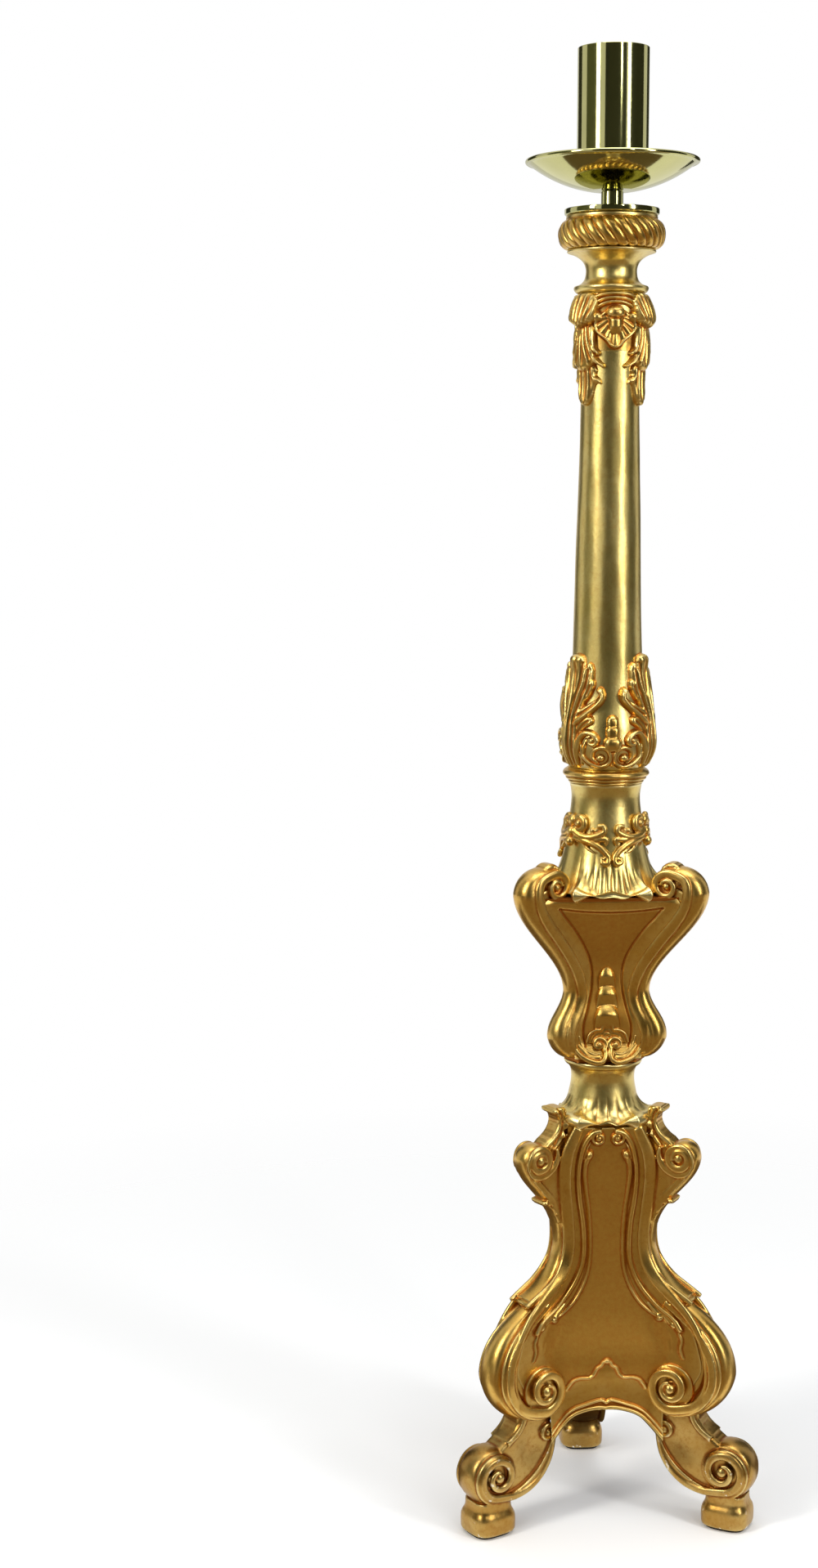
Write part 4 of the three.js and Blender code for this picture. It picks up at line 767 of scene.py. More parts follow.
    # lap of the upper strap over the lobe, and the moulding's rounded ends beside it
    lap = [(54, 11.4, 211, 30, 1.4), (62, 11.6, 203, 24, 1.9), (71, 11.6, 197, 20, 2.2), (80, 11.4, 191.6, 14, 2.2),
        (85.5, 11.2, 188.6, 10, 1.6)]
    parts += bands((lap, 1.5, 0.9))
    parts.append(ball((79.5, 0, 188.4), (3.6, 11.6, 2.8)))
    for r, z, w in ((69.5, 170.5, 3.4), (56.4, 176.5, 2.4)):
        end_of = [(r - 14, 11.2, z + 13.5, 24, w * 0.8), (r - 7, 12.4, z + 6.5, 16, w * 0.9), (r, 13.0, z, 6, w)]
        parts += bands((end_of, 1.8, 0.9))
        parts += balls(((r + 1.2, 12.6, z - 1.2), (w + 0.4, 3.0, w + 0.2)))
    return fused("corner_scroll", parts, 0.75, 3)


# ------------------------------------------------------------------ base: panels
FACE_ROWS = [(64, 39), (99, 39), (108, 39.3), (116, 40.0), (123, 41.0), (129, 41.8), (135, 42.1), (141, 41.6),
    (148, 40.3), (158, 38.0), (172, 35.2), (190, 33), (237, 31), (286, 32), (325, 34), (334, 35)]
# half width of the carved face: it ends under the side bands and behind the volutes
FACE_LIMIT = [(64, 47), (98, 47), (106, 48), (116, 66), (128, 75), (150, 74), (165, 69), (178, 62), (190, 51),
    (200, 42), (210, 35.5), (222, 31.5), (236, 30), (260, 31), (288, 34), (304, 34.5), (318, 31), (326, 28),
    (334, 26)]
# height of its arched lower edge beside the middle
ARCH = [(0, 94), (10, 93.4), (16.5, 92), (24, 89.4), (29.6, 86), (34.8, 81), (40, 75.6), (46, 69), (50, 66)]
# its side surfaces, which turn towards the corner scrolls: distance from their plane
FACE_SIDE = [(76, 18), (112, 13), (130, 12), (165, 12.2), (190, 12.2), (210, 11.4), (236, 10.4), (290, 10.8), (334, 11)]


def panel_grid(width, height, step):
    """Shares across, -1 to 1, and up, 0 to 1, a step apart."""
    return np.meshgrid(np.linspace(-1, 1, int(width / step)), np.linspace(0, 1, int(height / step)), indexing="ij")


def folded(flat, side, blend):
    """How far out a face lies that turns into its side over a soft edge."""
    return blend * np.logaddexp(flat / blend, side / blend)


def panel(name, x, z, front, back, narrower, matte):
    """Plate between two depths, with the share of matte ground at its points."""
    me = mesh_of(name, plate(np.stack([x, -front, z], -1), np.stack([x * narrower, -back, z], -1)))
    shade = matte.reshape(-1)
    mark(me, "matte", np.concatenate([shade, shade * 0]))
    return me


def base_panel():
    """Moulded face with a matte field, over an apron with an arched lower edge."""
    uu, vv = panel_grid(120, 258, 0.55)
    low_end, top_end, share = 82.0, 334.0, 0.16
    level = lerp(low_end, top_end, vv)
    x = uu * interp(level, FACE_LIMIT)
    ax = np.abs(x)
    arch = interp(ax, ARCH)
    mid = lerp(low_end, top_end, share)
    z = np.where(vv < share, arch + (mid - arch) * (vv / share), level)
    flat = interp(z, FACE_ROWS)
    side = (interp(z, FACE_SIDE) + ax / 2) / math.sin(PI / 3)
    d = folded(flat, side, 1.6)
    ridge1 = [(14.8, 311), (18.2, 304), (18.9, 295), (17.3, 280), (15.0, 263), (13.6, 242), (13.6, 224), (15.6, 210),
        (20.2, 197.5), (27.2, 186), (35.5, 178), (43.5, 173.2)]
    ridge2 = [(7.0, 331.5), (13.0, 329.5), (19.6, 320), (23.2, 305), (24.0, 288), (22.4, 271), (19.8, 254),
        (18.6, 237), (19.4, 222), (24, 207.5), (31.8, 194.4), (41.4, 183.8), (52.6, 175.5), (58.6, 166)]
    ridge3 = [(20, 333), (26.5, 323), (30, 305), (30.2, 286), (28.2, 266), (26.6, 247), (28, 227), (33, 212.5),
        (41.4, 200.3), (52.5, 190.8), (62, 183)]
    d1, _ = along(ax, z, curve(ridge1, 1.2))
    # the field is the middle of the face, inside the first ridge and its lines on
    field_line = [(0, 320), (6.5, 319.5), (11.5, 315), *ridge1, (50, 165), (54, 150), (50, 138), (33, 118),
        (0, 136.6)]
    field = inside(ax, z, curve(field_line, 1.5))
    low, between = (inside(ax, z, np.vstack([curve(a, 1.5), curve(b, 1.5)[::-1]]))
                    for a, b in ((ridge2[1:], ridge3), (ridge1, ridge2[2:])))
    c = Carving(ax, z, blur(np.where(between, 0.9, 0) - np.where(low, 1.2, 0), 3))
    c.ridge(ridge1, 1.5, 1.9, (1.7, 0.9))
    c.ridge(ridge2, 2.5, 3.9, (1.0, 1.25))
    c.groove(moved(ridge1[1:-1], 2.6), 0.8, 0.9)
    c.groove(moved(ridge2[2:-1], 3.6), 1.2, 1.6)
    c.groove(moved(ridge3[:-1], -0.4), 1.0, 0.9)
    # scrolls at the top of the mouldings and the buds inside them
    c.ridge(spiral((7.6, 325.6), 1.35, -1, 5.8, 2.4, 1.1, 40), 1.7, 4.0, smooth=False)
    c.dome(7.6, 325.4, 3.1, 3.1, 4.6)
    c.dome(15.2, 311.0, 3.0, 4.4, 4.4, 0.35)
    c.ridge([(14.6, 321.6), (17.6, 316), (19.6, 308)], 1.0, 2.4, (0.5, 0.8))
    c.dome(43.6, 172.8, 3.2, 2.6, 3.0, 0.6)
    # wavy border over the apron, with a peak in the middle
    wavy = [(0, 138.0), (2.6, 137.0), (4.6, 133.6), (7.6, 131.8), (11.2, 125.2), (14.5, 122.6), (21.5, 122.6),
        (27, 120.8), (30.0, 117.6), (33.5, 112.5)]
    apron = inside(ax, z, np.vstack([curve(wavy, 1.0), [(60, 100), (60, 70), (-1, 70), (-1, 138)]]))
    c.h = c.h - np.where(apron, 0.8, 0)
    c.ridge(wavy, 1.25, 1.9, (0.9, 0.9))
    c.dome(0, 137.6, 2.6, 2.2, 2.6)
    c.ridge([(58.0, 163.5), (60.6, 156), (59.8, 148), (62.0, 141)], 1.2, 1.9, (0.8, 0.8))
    for line in ([(44, 152), (51, 149.5), (58, 149)], [(43, 146), (50, 143), (58, 141.5)],
                 [(47, 158), (53, 155.5), (59, 156)]):
        c.groove(line, 1.2, 0.9)
    # two beads along the arched edge
    c.ridge([(0, 100.4), (3.2, 102.6), (7, 102.2), *moved(ARCH[2:-1], 1.6, 6.6)], 1.5, 2.6)
    c.ridge([(0, 96.0), (4, 96.6), *moved(ARCH[1:-1], 0.6, 2.6)], 2.0, 3.2)
    back = np.maximum(np.interp(z, *np.array(CORE).T) + 0.35, d - 5.0)
    matte = blur(np.where(field & ~apron & (d1 > 1.2), 1.0, 0.0), 2)
    return panel("base_panel", x, z, d + blur(c.h, 1), back, 0.985, matte)


# ------------------------------------------------------------------ feet
FOOT = (115.4, 51.0)
KNEE = (63.6, 77.0)


def block_rings(rows):
    """Rings of a square block with soft corners, under the foot: rows of (half length,
    half width, z)."""
    q = np.linspace(0, 2 * PI, 48, endpoint=False)
    c, s = (np.sign(v) * np.abs(v)**0.6 for v in (np.cos(q), np.sin(q)))
    return np.stack([np.stack([FOOT[0] + a * c, b * s, 0 * q + z], 1) for a, b, z in rows], 0)


def foot_crown(u):
    """Broad roll, a groove and a raised rim at each side."""
    a = np.abs(u)
    return half_round(a / 0.74)**0.85 + 0.22 * half_round((a - 0.88) / 0.12)


def scroll_foot():
    curl = spiral(KNEE, PI, -1, 5.6, 2.2, 1.0, 30)[::-1]
    shin = bezier((58, 77), (58, 55), (83.4, 30.0), (115.4, 30.0), 44)
    around = spiral(FOOT, -PI / 2, 1, 21, 15, 0.5, 40)
    inward = spiral(FOOT, PI / 2, 1, 15, 9.0, 0.6, 40)
    path = np.vstack([
        stations((1.4, 24, 0.3), (curl, 1.9, 28, 1.0)),
        stations((1.9, 28, 1.2), (shin[1:], 2.7, 31, 2.6), (around, 2.8, 32, 5.2), (inward, 2.0, 30, 0.6)),
    ])
    web = [*shin, (126, 40), (124, 57), (112, 72), (104, 78), (97, 84), (93, 90), (91.6, 96.5), (60, 96.5), (58, 84)]
    top_band = bezier((86.5, 97.5), (87.5, 88), (92.5, 81.5), (103.5, 75.5), 22)
    parts = [
        strap(path, foot_crown, -1),
        flank(web, 11.6, 3.5, scoop(2.6, 80, 66, 13, 15)),
        strap(stations((2.0, 27, 0.8), (top_band, 2.0, 25, 0.8)), foot_crown),
        drum(FOOT, 18.0, 12.2, 44),
    ]
    # side ribbon: from the knee's curl down the shin and into the volute
    run = [(57.6, 12.6, 80, 0, 1.8), (58.6, 13.0, 70, 0, 2.2), (62.5, 13.4, 56, 0, 2.5), (71, 13.8, 43.5, 0, 2.7),
        (83, 14.2, 35, 0, 2.9), (98, 14.8, 31.4, 0, 3.1), (108, 15.2, 32.1, 0, 3.2)]
    run = curled(run, FOOT, -PI / 2, 1, (18.0, 16.0, 13.8, 12.0, 9.6, 7.4, 5.6), (15.4, 17.2),
        0, (3.3, 3.4, 3.3, 3.1, 2.7, 2.1, 1.2))
    parts += bands((run, 1.9, 1.0))
    parts += balls(((FOOT[0], 15.6, FOOT[1]), (4.4, 4.0, 4.4)))
    knee = curled([(57.6, 12.4, 72, 0, 1.8)], KNEE, PI, -1, (6.4, 6.2, 5.6, 4.6, 3.6), (12.6, 13.4),
        0, (2.0, 2.2, 2.0, 1.6, 1.0))
    parts += bands((knee, 1.6, 0.8))
    parts += balls(((KNEE[0], 12.4, KNEE[1]), (2.8, 3.0, 2.8)))
    drop = [(66, 11.6, 90, 0, 1.2), (62.5, 12.2, 92, 0, 2.0), (57.5, 12.4, 89, 0, 2.2), (55.8, 12.4, 83.5, 0, 1.6)]
    parts += bands((drop, 1.5, 0.8))
    # the square block: height over the felt and share of its full size
    block = [(0.0, 0.90), (0.6, 0.955), (2.2, 0.99), (5, 1.0), (9, 1.005), (12, 1.0), (14.6, 0.975), (16.8, 0.93),
        (18.6, 0.88), (21, 0.845), (24, 0.835), (27, 0.83)]
    parts.append(capped(block_rings((s * 20.2, s * 19.0, 2.3 + a) for a, s in curve(block, 1.0))))
    return fused("scroll_foot", parts, 0.75, 3)


def foot_felt():
    return mesh_of("foot_felt", capped(block_rings((16.5, 15, z) for z in (0.0, 0.3, 1.0, 1.7, 2.0))))


# ------------------------------------------------------------------ vase
VOLUTE = (58.0, 535.6)
VASE_FACE = [(384, 32), (388, 30.5), (392, 28), (397, 25.5), (402, 23.4), (411, 23), (424, 22.9), (437, 20),
    (450, 18.3), (466, 18.3), (478, 21.3), (491, 26.7), (504, 33), (514, 37.6), (519, 40.2), (523, 42.0), (527, 43.0)]
# smooth side band of a vase corner, from the volute down to the foot
VASE_BAND = [(76.2, 12.8, 531, 8, 3.6), (73.6, 12.6, 519.5, 10, 4.0), (66.4, 12.2, 507, 12, 4.4),
    (56.2, 11.8, 494, 14, 4.6), (45.6, 11.2, 480, 16, 4.6), (35.4, 10.4, 464, 18, 4.4), (30.0, 9.6, 450, 20, 4.0),
    (29.2, 9.4, 440, 20, 3.8), (32.6, 9.6, 430, 18, 3.9), (38.0, 9.8, 420, 18, 4.0), (41.0, 9.6, 410, 20, 3.9),
    (39.6, 9.6, 401, 24, 3.5), (34.0, 10.4, 395, 30, 3.0)]


def vase_crown(u):
    """Broad roll that falls to a thin groove and a rim at each side."""
    a = np.abs(u)
    return half_round(a / 0.93)**0.8 + 0.02 * (a > 0.93)


def vase_scroll():
    curl = spiral(VOLUTE, PI / 2, 1, 8.6, 4.2, 0.8, 40)[::-1]
    out = (76.7, 530.6)
    waist, belly = (30.4, 446.6), (43.5, 410.6)
    over = bezier((58, 544.2), (68, 544.2), (76.7, 539.6), out, 16)
    down = bezier(out, (76.7, 506.6), (30.4, 478.6), waist, 50)
    swell = bezier(waist, (30.4, 429.6), (43.5, 420.6), belly, 24)
    tuck = bezier(belly, (43.5, 401.6), (38.5, 393.6), (30.5, 394.1), 14)
    path = stations((1.3, 18, 0.2), (curl, 1.9, 22, 5), (over, 2.2, 26, 11), (down, 2.2, 17, 7),
                    (swell, 2.2, 22, 9.5), (tuck, 2.0, 17, 1.5))
    web = [*down[6:], *swell[1:], *tuck[1:], (9, 394), (9, 515), (48, 523), (54, 528), (61, 536)]
    top = [*down[:18], (34, 492), (34, 516), (48, 527), (54, 530), (61, 536)]
    parts = [strap(path, vase_crown), prism(web, 8.6), flank(top, 9.6, 2.0), drum(VOLUTE, 8.0, 9.6, 30)]
    upper = curled([], VOLUTE, PI - 0.2, -1, (4.2, 5.2, 6.6, 8.2, 9.6, 11.0), (12.8, 12.2),
        0, (1.0, 1.7, 2.2, 2.6, 3.0, 3.3))
    top_run = [(VOLUTE[0] + 15.4, 12.4, VOLUTE[1] + 5.4, 4, 3.5)]
    parts += bands(([*upper, *top_run, *VASE_BAND], 1.9, 1.0))
    parts += balls(((VOLUTE[0], 10.6, VOLUTE[1]), (3.0, 3.2, 3.0)))
    ear = [(51, 540), (50.4, 547), (54, 553), (60, 554.6), (66, 552.4), (69.5, 547.5), (68, 541)]
    ear_marks = marks([([(54, 542), (56, 549), (63, 550)], 0.9, 1.6)], [(55, 549, 3.4, 3.4, 1.6)])
    parts.append(flank(ear, 7.6, 3.0, ear_marks))
    return fused("vase_scroll", parts, 0.7, 3)


def vase_face(z):
    return interp(z, VASE_FACE)


FIELD_EDGE = [(42.0, 517.6), (36, 509), (29, 500), (18.6, 482.5), (13.6, 469.5), (12.1, 456), (13.2, 444),
    (16.3, 430), (19.6, 417), (19.4, 408), (17.5, 400)]


def vase_panel():
    """Smooth burnished face that runs on to the side bands and up to the rail's edge,
    with a matte field in an engraved outline."""
    uu, vv = panel_grid(92, 137, 0.5)
    z = lerp(390.6, 527.0, vv)
    limit = interp(z, [(390, 27), (396, 28), (402, 29), (411, 28.6), (424, 26.5), (437, 21.6), (450, 20.2),
        (462, 24.5), (478, 32.5), (494, 43.0), (506, 51.8), (513, 55.4), (519, 56.4), (524, 54.5), (527, 51.5)])
    x = uu * limit
    ax = np.abs(x)
    flat = vase_face(z)
    side = (interp(z, [(390, 8.2), (411, 9.6), (446, 8.6), (480, 10.2), (510, 11.2), (527, 11.4)]) + ax / 2)
    side = side / math.sin(PI / 3)
    d = folded(flat, side, 1.5) - 2.4 * fade(z, 521.5, 527)**2
    edge = curve(FIELD_EDGE, 1.0)
    top = [(0, 514.0), (14, 514.4), (28, 515.6), (42, 517.6)]
    h = groove(ax, z, edge, 0.75, 1.6, smooth=False)
    h += groove(ax, z, top, 0.75, 1.6)
    field = inside(ax, z, np.vstack([edge, [(0, 400)], curve(top, 1.5)]))
    h = h - 0.7 * blur(field.astype(float), 2)
    matte = blur((field & (z > 402)).astype(float), 1)
    return panel("vase_panel", x, z, d + blur(h, 1), d - 3.6, 0.96, matte)


def vase_husk():
    """Hooded husks, a trefoil and the pair of small volutes that end the rims."""
    parts = []

    def at(x, z, lift=0.0):
        return (x, -(float(vase_face(z)) + lift), z)

    for cz, top, w, hgt in ((450.5, 465.3, 7.2, 4.2), (434.5, 451.4, 9.0, 4.9), (416.5, 436.4, 10.8, 5.6)):
        rows = []
        for t in np.linspace(0, 1, 18):
            z = lerp(top, cz - 3, t)
            grow = math.sqrt(1 - (1 - min(1.0, t * 1.35 + 0.02))**2)
            lift = hgt * math.sin(min(1.0, 0.12 + t * 1.9) * PI / 2) * (1 - 0.8 * max(0, t - 0.4) / 0.6)
            q = np.linspace(0, PI, 17)
            ring = [at(w * grow * math.cos(a), z, lift * math.sin(a)**0.8) for a in q]
            ring += [at(w * grow * math.cos(a), z, -2.5) for a in (PI, PI / 2, 0)]
            rows.append(ring)
        parts.append(capped(np.array(rows)))
    tre = [(-17, 404), (-14.5, 410.8), (-9.5, 413.8), (-5.2, 414.2), (-3.8, 417.6), (0, 419.6), (3.8, 417.6),
        (5.2, 414.2), (9.5, 413.8), (14.5, 410.8), (17, 404)]
    parts.append(cord([at(x, z, 1.8) for x, z in tre], 0.8, 0.95, 10))
    for f in (0.86, 0.7, 0.5, 0.3):
        parts.append(cord([at(x * f, 402 + (z - 402) * f, 0.2) for x, z in tre], 1.0, 1.7, 8))
    for side in (-1, 1):
        run = [at(side * x, z, lift) for x, z, lift in ((29, 404, 2.6), (26.0, 398, 2.6), (21, 392.8, 2.2),
            (14, 389.4, 2.0), (7.6, 388.4, 2.0), (3.4, 390.6, 2.4), (1.7, 395.4, 3.0))]
        sp = spiral((6.8, 402.6), PI + 0.75, -1, 6.0, 1.9, 1.15, 40)
        run += [at(side * px, pz, 3.2 + 1.2 * i / 40) for i, (px, pz) in enumerate(sp)][::3]
        parts.append(cord(run, 0.7, {0: 1.8, 0.3: 2.1, 0.6: 2.0, 1: 1.3}, 12))
        parts.append(ball(at(side * 6.8, 402.6, 3.8), (2.5, 3.2, 2.5)))
        for line, lift, radius in (([(23.5, 409), (21.4, 402), (17, 397), (11, 394.2), (6.5, 394.8)], 1.2, 1.3),
                                   ([(24, 401), (15, 392.4), (6, 391.4)], 0.2, 2.2)):
            parts.append(cord([at(side * x, z, lift) for x, z in line], 0.8, radius, 10))
    return fused("vase_husk", parts, 0.55, 2)


def vase_core():
    """Foot, body behind the panels and the rounded rail above them."""
    rows = [(386.6, 24.5), (392, 24.0), (398, 22), (404, 18), (424, 18), (437, 15), (450, 13.5), (466, 13.5),
        (478, 16.5), (491, 21.5), (504, 28), (514.5, 34.5), (519, 38.2), (523, 41.2), (526, 42.6), (527.1, 42.4)]
    half = 9.0                         # half the width of a cut-off corner
    rings = []
    for z, d in curve(rows, 1.2):
        reach = 2 * d - half * math.sqrt(3)
        corners = []
        for k in range(3):
            a = -PI / 2 + PI / 3 + k * THIRD
            for t in (-half, half):
                corners.append((reach * math.cos(a) - t * math.sin(a), reach * math.sin(a) + t * math.cos(a), z))
        ring = []
        for p, q in zip(corners, corners[1:] + corners[:1]):
            ring += [tuple(lerp(np.array(p), np.array(q), f)) for f in np.linspace(0, 1, 26, endpoint=False)]
        rings.append(ring)
    return mesh_of("vase_core", capped(np.array(rings)))


# ------------------------------------------------------------------ turned pieces
def turned(name, rows, segs=144, lift=None, wave=None):
    """A turned piece; wave(angle, z) moves its skin up and down."""
    pts, faces = turning(rows, segs, lift)
    if wave is not None:
        a = np.arctan2(pts[:, 0], -pts[:, 1])
        pts[:, 2] += wave(a, pts[:, 2])
    return mesh_of(name, (pts, faces))


def from_face(a):
    """Angle from the middle of the nearest of the three faces."""
    return (a + THIRD / 2) % THIRD - THIRD / 2


def scallop(f):
    """Wavy edge of a shell skirt between two corners; f runs from -60 to 60 degrees."""
    return (0.9 * np.cos(f * 15.5) + 0.7 * np.cos(f * 9 + 0.6)) * np.cos(f * 1.5)


def skirt(f, face, most, ring):
    """How far a skirt's foot stands out from its ring to follow a flat face."""
    return np.minimum(face / np.cos(f), most) - ring


def lower_neck():
    rows = profile(0.5, [(36.0, 336.4), (39.4, 337.0), (41.0, 338.2), (41.4, 339.6), (40.4, 340.7), (37.6, 341.6),
        (34.4, 343.8), (31.4, 347.2), (29.2, 352), (27.6, 359), (26.4, 366), (26.2, 371), (27.2, 377), (29.2, 380.6)],
        [(31.4, 382.0), (32.4, 384.0), (32.2, 385.6), (31.4, 386.2)])

    def lift(a, z):
        f = from_face(a)
        h = skirt(f, 37.6, 45.0, 40.6) * fade(z, 356, 341)**1.6
        flutes = np.abs(np.sin(11.0 * f))**0.75 - 0.55
        zone = fade(z, 360, 346)**1.3 * fade(z, 341, 344)
        return h + zone * 1.2 * flutes * (0.5 + 0.5 * np.exp(-(f / 0.6)**4))

    def wave(a, z):
        return (scallop(from_face(a)) - 0.5) * fade(z, 352, 344)
    return turned("lower_neck", rows, 480, lift, wave=wave)


def middle_neck():
    rows = profile(0.55, [(43, 527.6), (47.6, 528.0), (50.2, 529.0), (51.0, 530.4), (50.0, 531.7), (47.6, 532.6),
        (44.4, 535.2), (40.6, 540.6), (37.4, 548), (34.8, 557.0), (32.8, 566.5), (31.2, 577), (30.0, 586),
        (28.9, 594), (28.2, 600), (28.0, 606), (28.6, 611.5), (29.6, 616.4)])

    def lift(a, z):
        f = from_face(a)
        tuck = 6.5 * fade(np.abs(f), 0.59, 0.72)**2
        h = (skirt(f, 45.4, 55.5, 50.4) - tuck) * fade(z, 550, 530)**1.5
        broad = np.abs(np.sin(8.5 * f))**0.8 - 0.5
        fine = np.abs(np.sin(24.0 * f))**0.8 - 0.5
        zone = fade(z, 566, 544) * fade(z, 531.8, 534.8)
        front = np.exp(-(f / 0.62)**4)
        h = h + zone * (0.9 * broad + 0.85 * fine * fade(z, 553, 541) * front) * (0.45 + 0.55 * front)
        edge = np.exp(-((z - 530.6) / 1.2)**2)
        return h + 0.5 * edge

    def wave(a, z):
        f = from_face(a)
        return (0.75 * scallop(f) * (np.abs(f) < 0.8) - 0.7) * fade(z, 541, 532)
    return turned("middle_neck", rows, 600, lift, wave=wave)


def bead_ring():
    rows = profile(0.4, [(30.2, 616.8), (30.9, 618.0), (30.4, 619.2)], [(32.6, 619.9), (33.0, 621.2), (32.2, 622.0)],
        [(34.2, 622.6), (35.3, 624.2), (34.7, 626.4), (32.6, 628.2), (31.0, 629.3)])
    return turned("bead_ring", rows)


SHAFT = [(629.7, 30.6), (634.7, 32.5), (645.7, 35), (661.7, 34.2), (681.7, 31), (703.7, 29.1), (721.7, 28.3),
    (761, 27.2), (819, 26.0), (870, 24.6), (939, 23.6), (984, 24.6), (1009, 25.6)]


def shaft_r(z):
    return interp(z, SHAFT)


def column_shaft():
    z = np.linspace(629.7, 1009, 300)
    rows = np.stack([shaft_r(z) - 0.05, z], 1)

    # a little uneven, as hand turning under gesso is
    def lift(a, z):
        return sum(high * np.sin(n * a + z / long)
                   for high, n, long in ((0.11, 3, 40), (0.08, 5, -23), (0.04, 11, 9), (0.03, 17, -31)))
    return turned("column_shaft", rows, lift=lift)


def patch(name, reach, z0, z1, relief, step=0.55):
    """Low carving on the shaft: a closed patch whose ground lies under its skin.
    relief(x, z) gets the distance round the shaft from the patch's middle."""
    step = step * 1.0
    u = np.linspace(-reach, reach, int(2 * reach / step))
    v = np.linspace(z0, z1, int((z1 - z0) / step))
    x, z = np.meshgrid(u, v, indexing="ij")
    base = shaft_r(z)
    high = base + blur(relief(np.abs(x), z), 1)
    low = np.minimum(high, base) + SUNK
    a = x / shaft_r((z0 + z1) / 2)
    return mesh_of(name, plate(*(np.stack([r * np.sin(a), -r * np.cos(a), z], -1) for r in (high, low))))


def lower_leaf():
    """Acanthus leaf that cups the bulb at a corner: a folded blade whose tip turns out,
    and curled lobes at its sides."""
    blade = [(-8, 631), (5.5, 631), (7.2, 640), (6.8, 652), (6.6, 664), (8.6, 676), (11.4, 686), (13.6, 693),
        (16.6, 700), (17.6, 708), (16.2, 714.5), (12.4, 716.4), (10.4, 712.5), (8.8, 716), (7.6, 720.6), (3.4, 722.6),
        (0, 723), (-8, 723)]
    big = [(3, 662), (8, 666.5), (14.7, 673.5), (21.5, 679.8), (26.4, 686), (27.4, 691.4), (25.2, 696.2),
        (21.4, 696.4), (19.8, 693.4), (21.8, 691.2), (19.8, 687.4), (12, 682), (5, 678)]
    top = [(8, 682), (12.6, 686), (16.2, 691.4), (18.6, 697.5), (18.2, 702.4), (14.6, 702.4), (11, 696), (7, 690)]
    small = [(4, 651), (7.8, 657.4), (11.4, 662.8), (15.2, 665.6), (18.2, 667.6), (18.6, 672), (14.4, 674),
        (9.5, 671), (5, 664)]

    def relief(x, z):
        lean = interp(z, [(631, 0.50), (640, 0.78), (652, 0.96), (668, 1.0), (686, 0.92), (700, 0.76), (710, 0.70),
            (717, 0.86), (723, 0.98)])
        c = Carving(x, z, leaf_of(x, z, blade, 7.2, 6.0, lean, [(2.0, 1.8, [(0, 632), (0, 660), (0, 690), (0, 721)]),
            (1.2, 1.5, [(3.2, 633), (3.4, 655), (3.6, 672), (6.4, 688), (9.8, 701), (10.8, 712)], [(5.6, 636),
            (5.8, 655), (6.0, 670), (9.6, 684), (13.6, 697), (15.2, 709)])], [([(1.7, 634), (1.9, 655), (1.9, 674),
            (4.2, 690), (6.6, 703), (7.4, 716)], 0.8, 2.4), ([(4.4, 635), (4.6, 655), (4.8, 672), (8, 686),
            (11.8, 699), (13.2, 711)], 0.7, 2.0)]))
        c.over(leaf_of(x, z, big, 6.4, 4.0, 1.0, [(1.7, 1.3, [(5, 667), (12, 672.6), (19, 679.6), (24.4, 686.4),
            (25, 692), (22.4, 693.8)])], [([(5, 672), (12, 677.6), (18, 682.8), (22.6, 689)], 0.8, 2.2)]))
        c.over(leaf_of(x, z, top, 5.4, 3.0, cuts=[([(8, 685), (12.4, 690.5), (15.6, 698)], 0.7, 1.4)]))
        c.over(leaf_of(x, z, small, 4.6, 3.2, cuts=[([(5.5, 657), (10, 664.5), (15.4, 670)], 0.8, 1.6)]))
        # curl that turns in under the lobes, its eye and the stalk beside it
        c.ridge([(5.4, 634), (6.6, 646), (8.6, 655.6), (13.4, 660.4), (19.2, 658.6), (21.8, 654.2), (19.8, 650.8),
            (16.6, 651.8), (16.4, 654.8)], 2.4, 5.4, (0.8, 0.8), sunk=0.5)
        c.dome(18.4, 654.4, 2.8, 2.6, 5.2, sunk=0.4)
        c.ridge([(8.6, 634), (10.6, 642), (12.6, 650), (13.4, 655)], 1.4, 3.4, (0.8, 0.6), sunk=0.5)
        return c.h
    return patch("lower_leaf", 29, 630.6, 725, relief)


def lower_husk():
    """Three hooded husks over a pair of C-scrolls with button eyes."""
    def relief(x, z):
        c = Carving(x, z, np.full(x.shape, SUNK))
        # hoods: top, widest place and foot, half width and height
        for top, wide, low, w, hh in ((674.4, 670.0, 663.0, 5.2, 4.0), (667.0, 662.4, 654.5, 5.8, 4.8),
                                      (658.2, 652.6, 645.5, 7.4, 5.8)):
            up, down = half_round((z - wide) / (top - wide)), half_round((wide - z) / (wide - low))
            g = np.where(z > wide, up, 0.72 + 0.28 * down)
            q = x / (w * np.maximum(g, 0.05))
            hood = hh * np.clip(1 - q**2.8, 0, 1)**0.5 * np.where(z > wide, up**0.7, 0.55 + 0.45 * down)
            c.over(np.where((z < top) & (z > low) & (q < 1), hood, SUNK))
        scroll = [(25.7, 650), (24.6, 641.5), (18.6, 635.4), (10.4, 632.8), (3.6, 635.4), (1.6, 641.4), (4.2, 646.8),
            (10.0, 648.6), (15.2, 645.6), (16.2, 640.2), (12.6, 636.2)]
        c.ridge(scroll, 1.9, 4.4, (0.7, 0.8), sunk=0.5)
        c.ridge([(27.4, 655), (28.6, 646), (25.0, 637), (20, 632.4)], 1.4, 3.0, (0.6, 0.7), sunk=0.5)
        c.dome(9.8, 640.0, 3.7, 3.3, 4.8, sunk=0.3)
        c.ridge([(0, 646), (0, 640), (0, 634)], 1.4, 2.6, sunk=0.5)
        return c.h
    return patch("lower_husk", 30, 630.6, 677, relief, step=0.5)


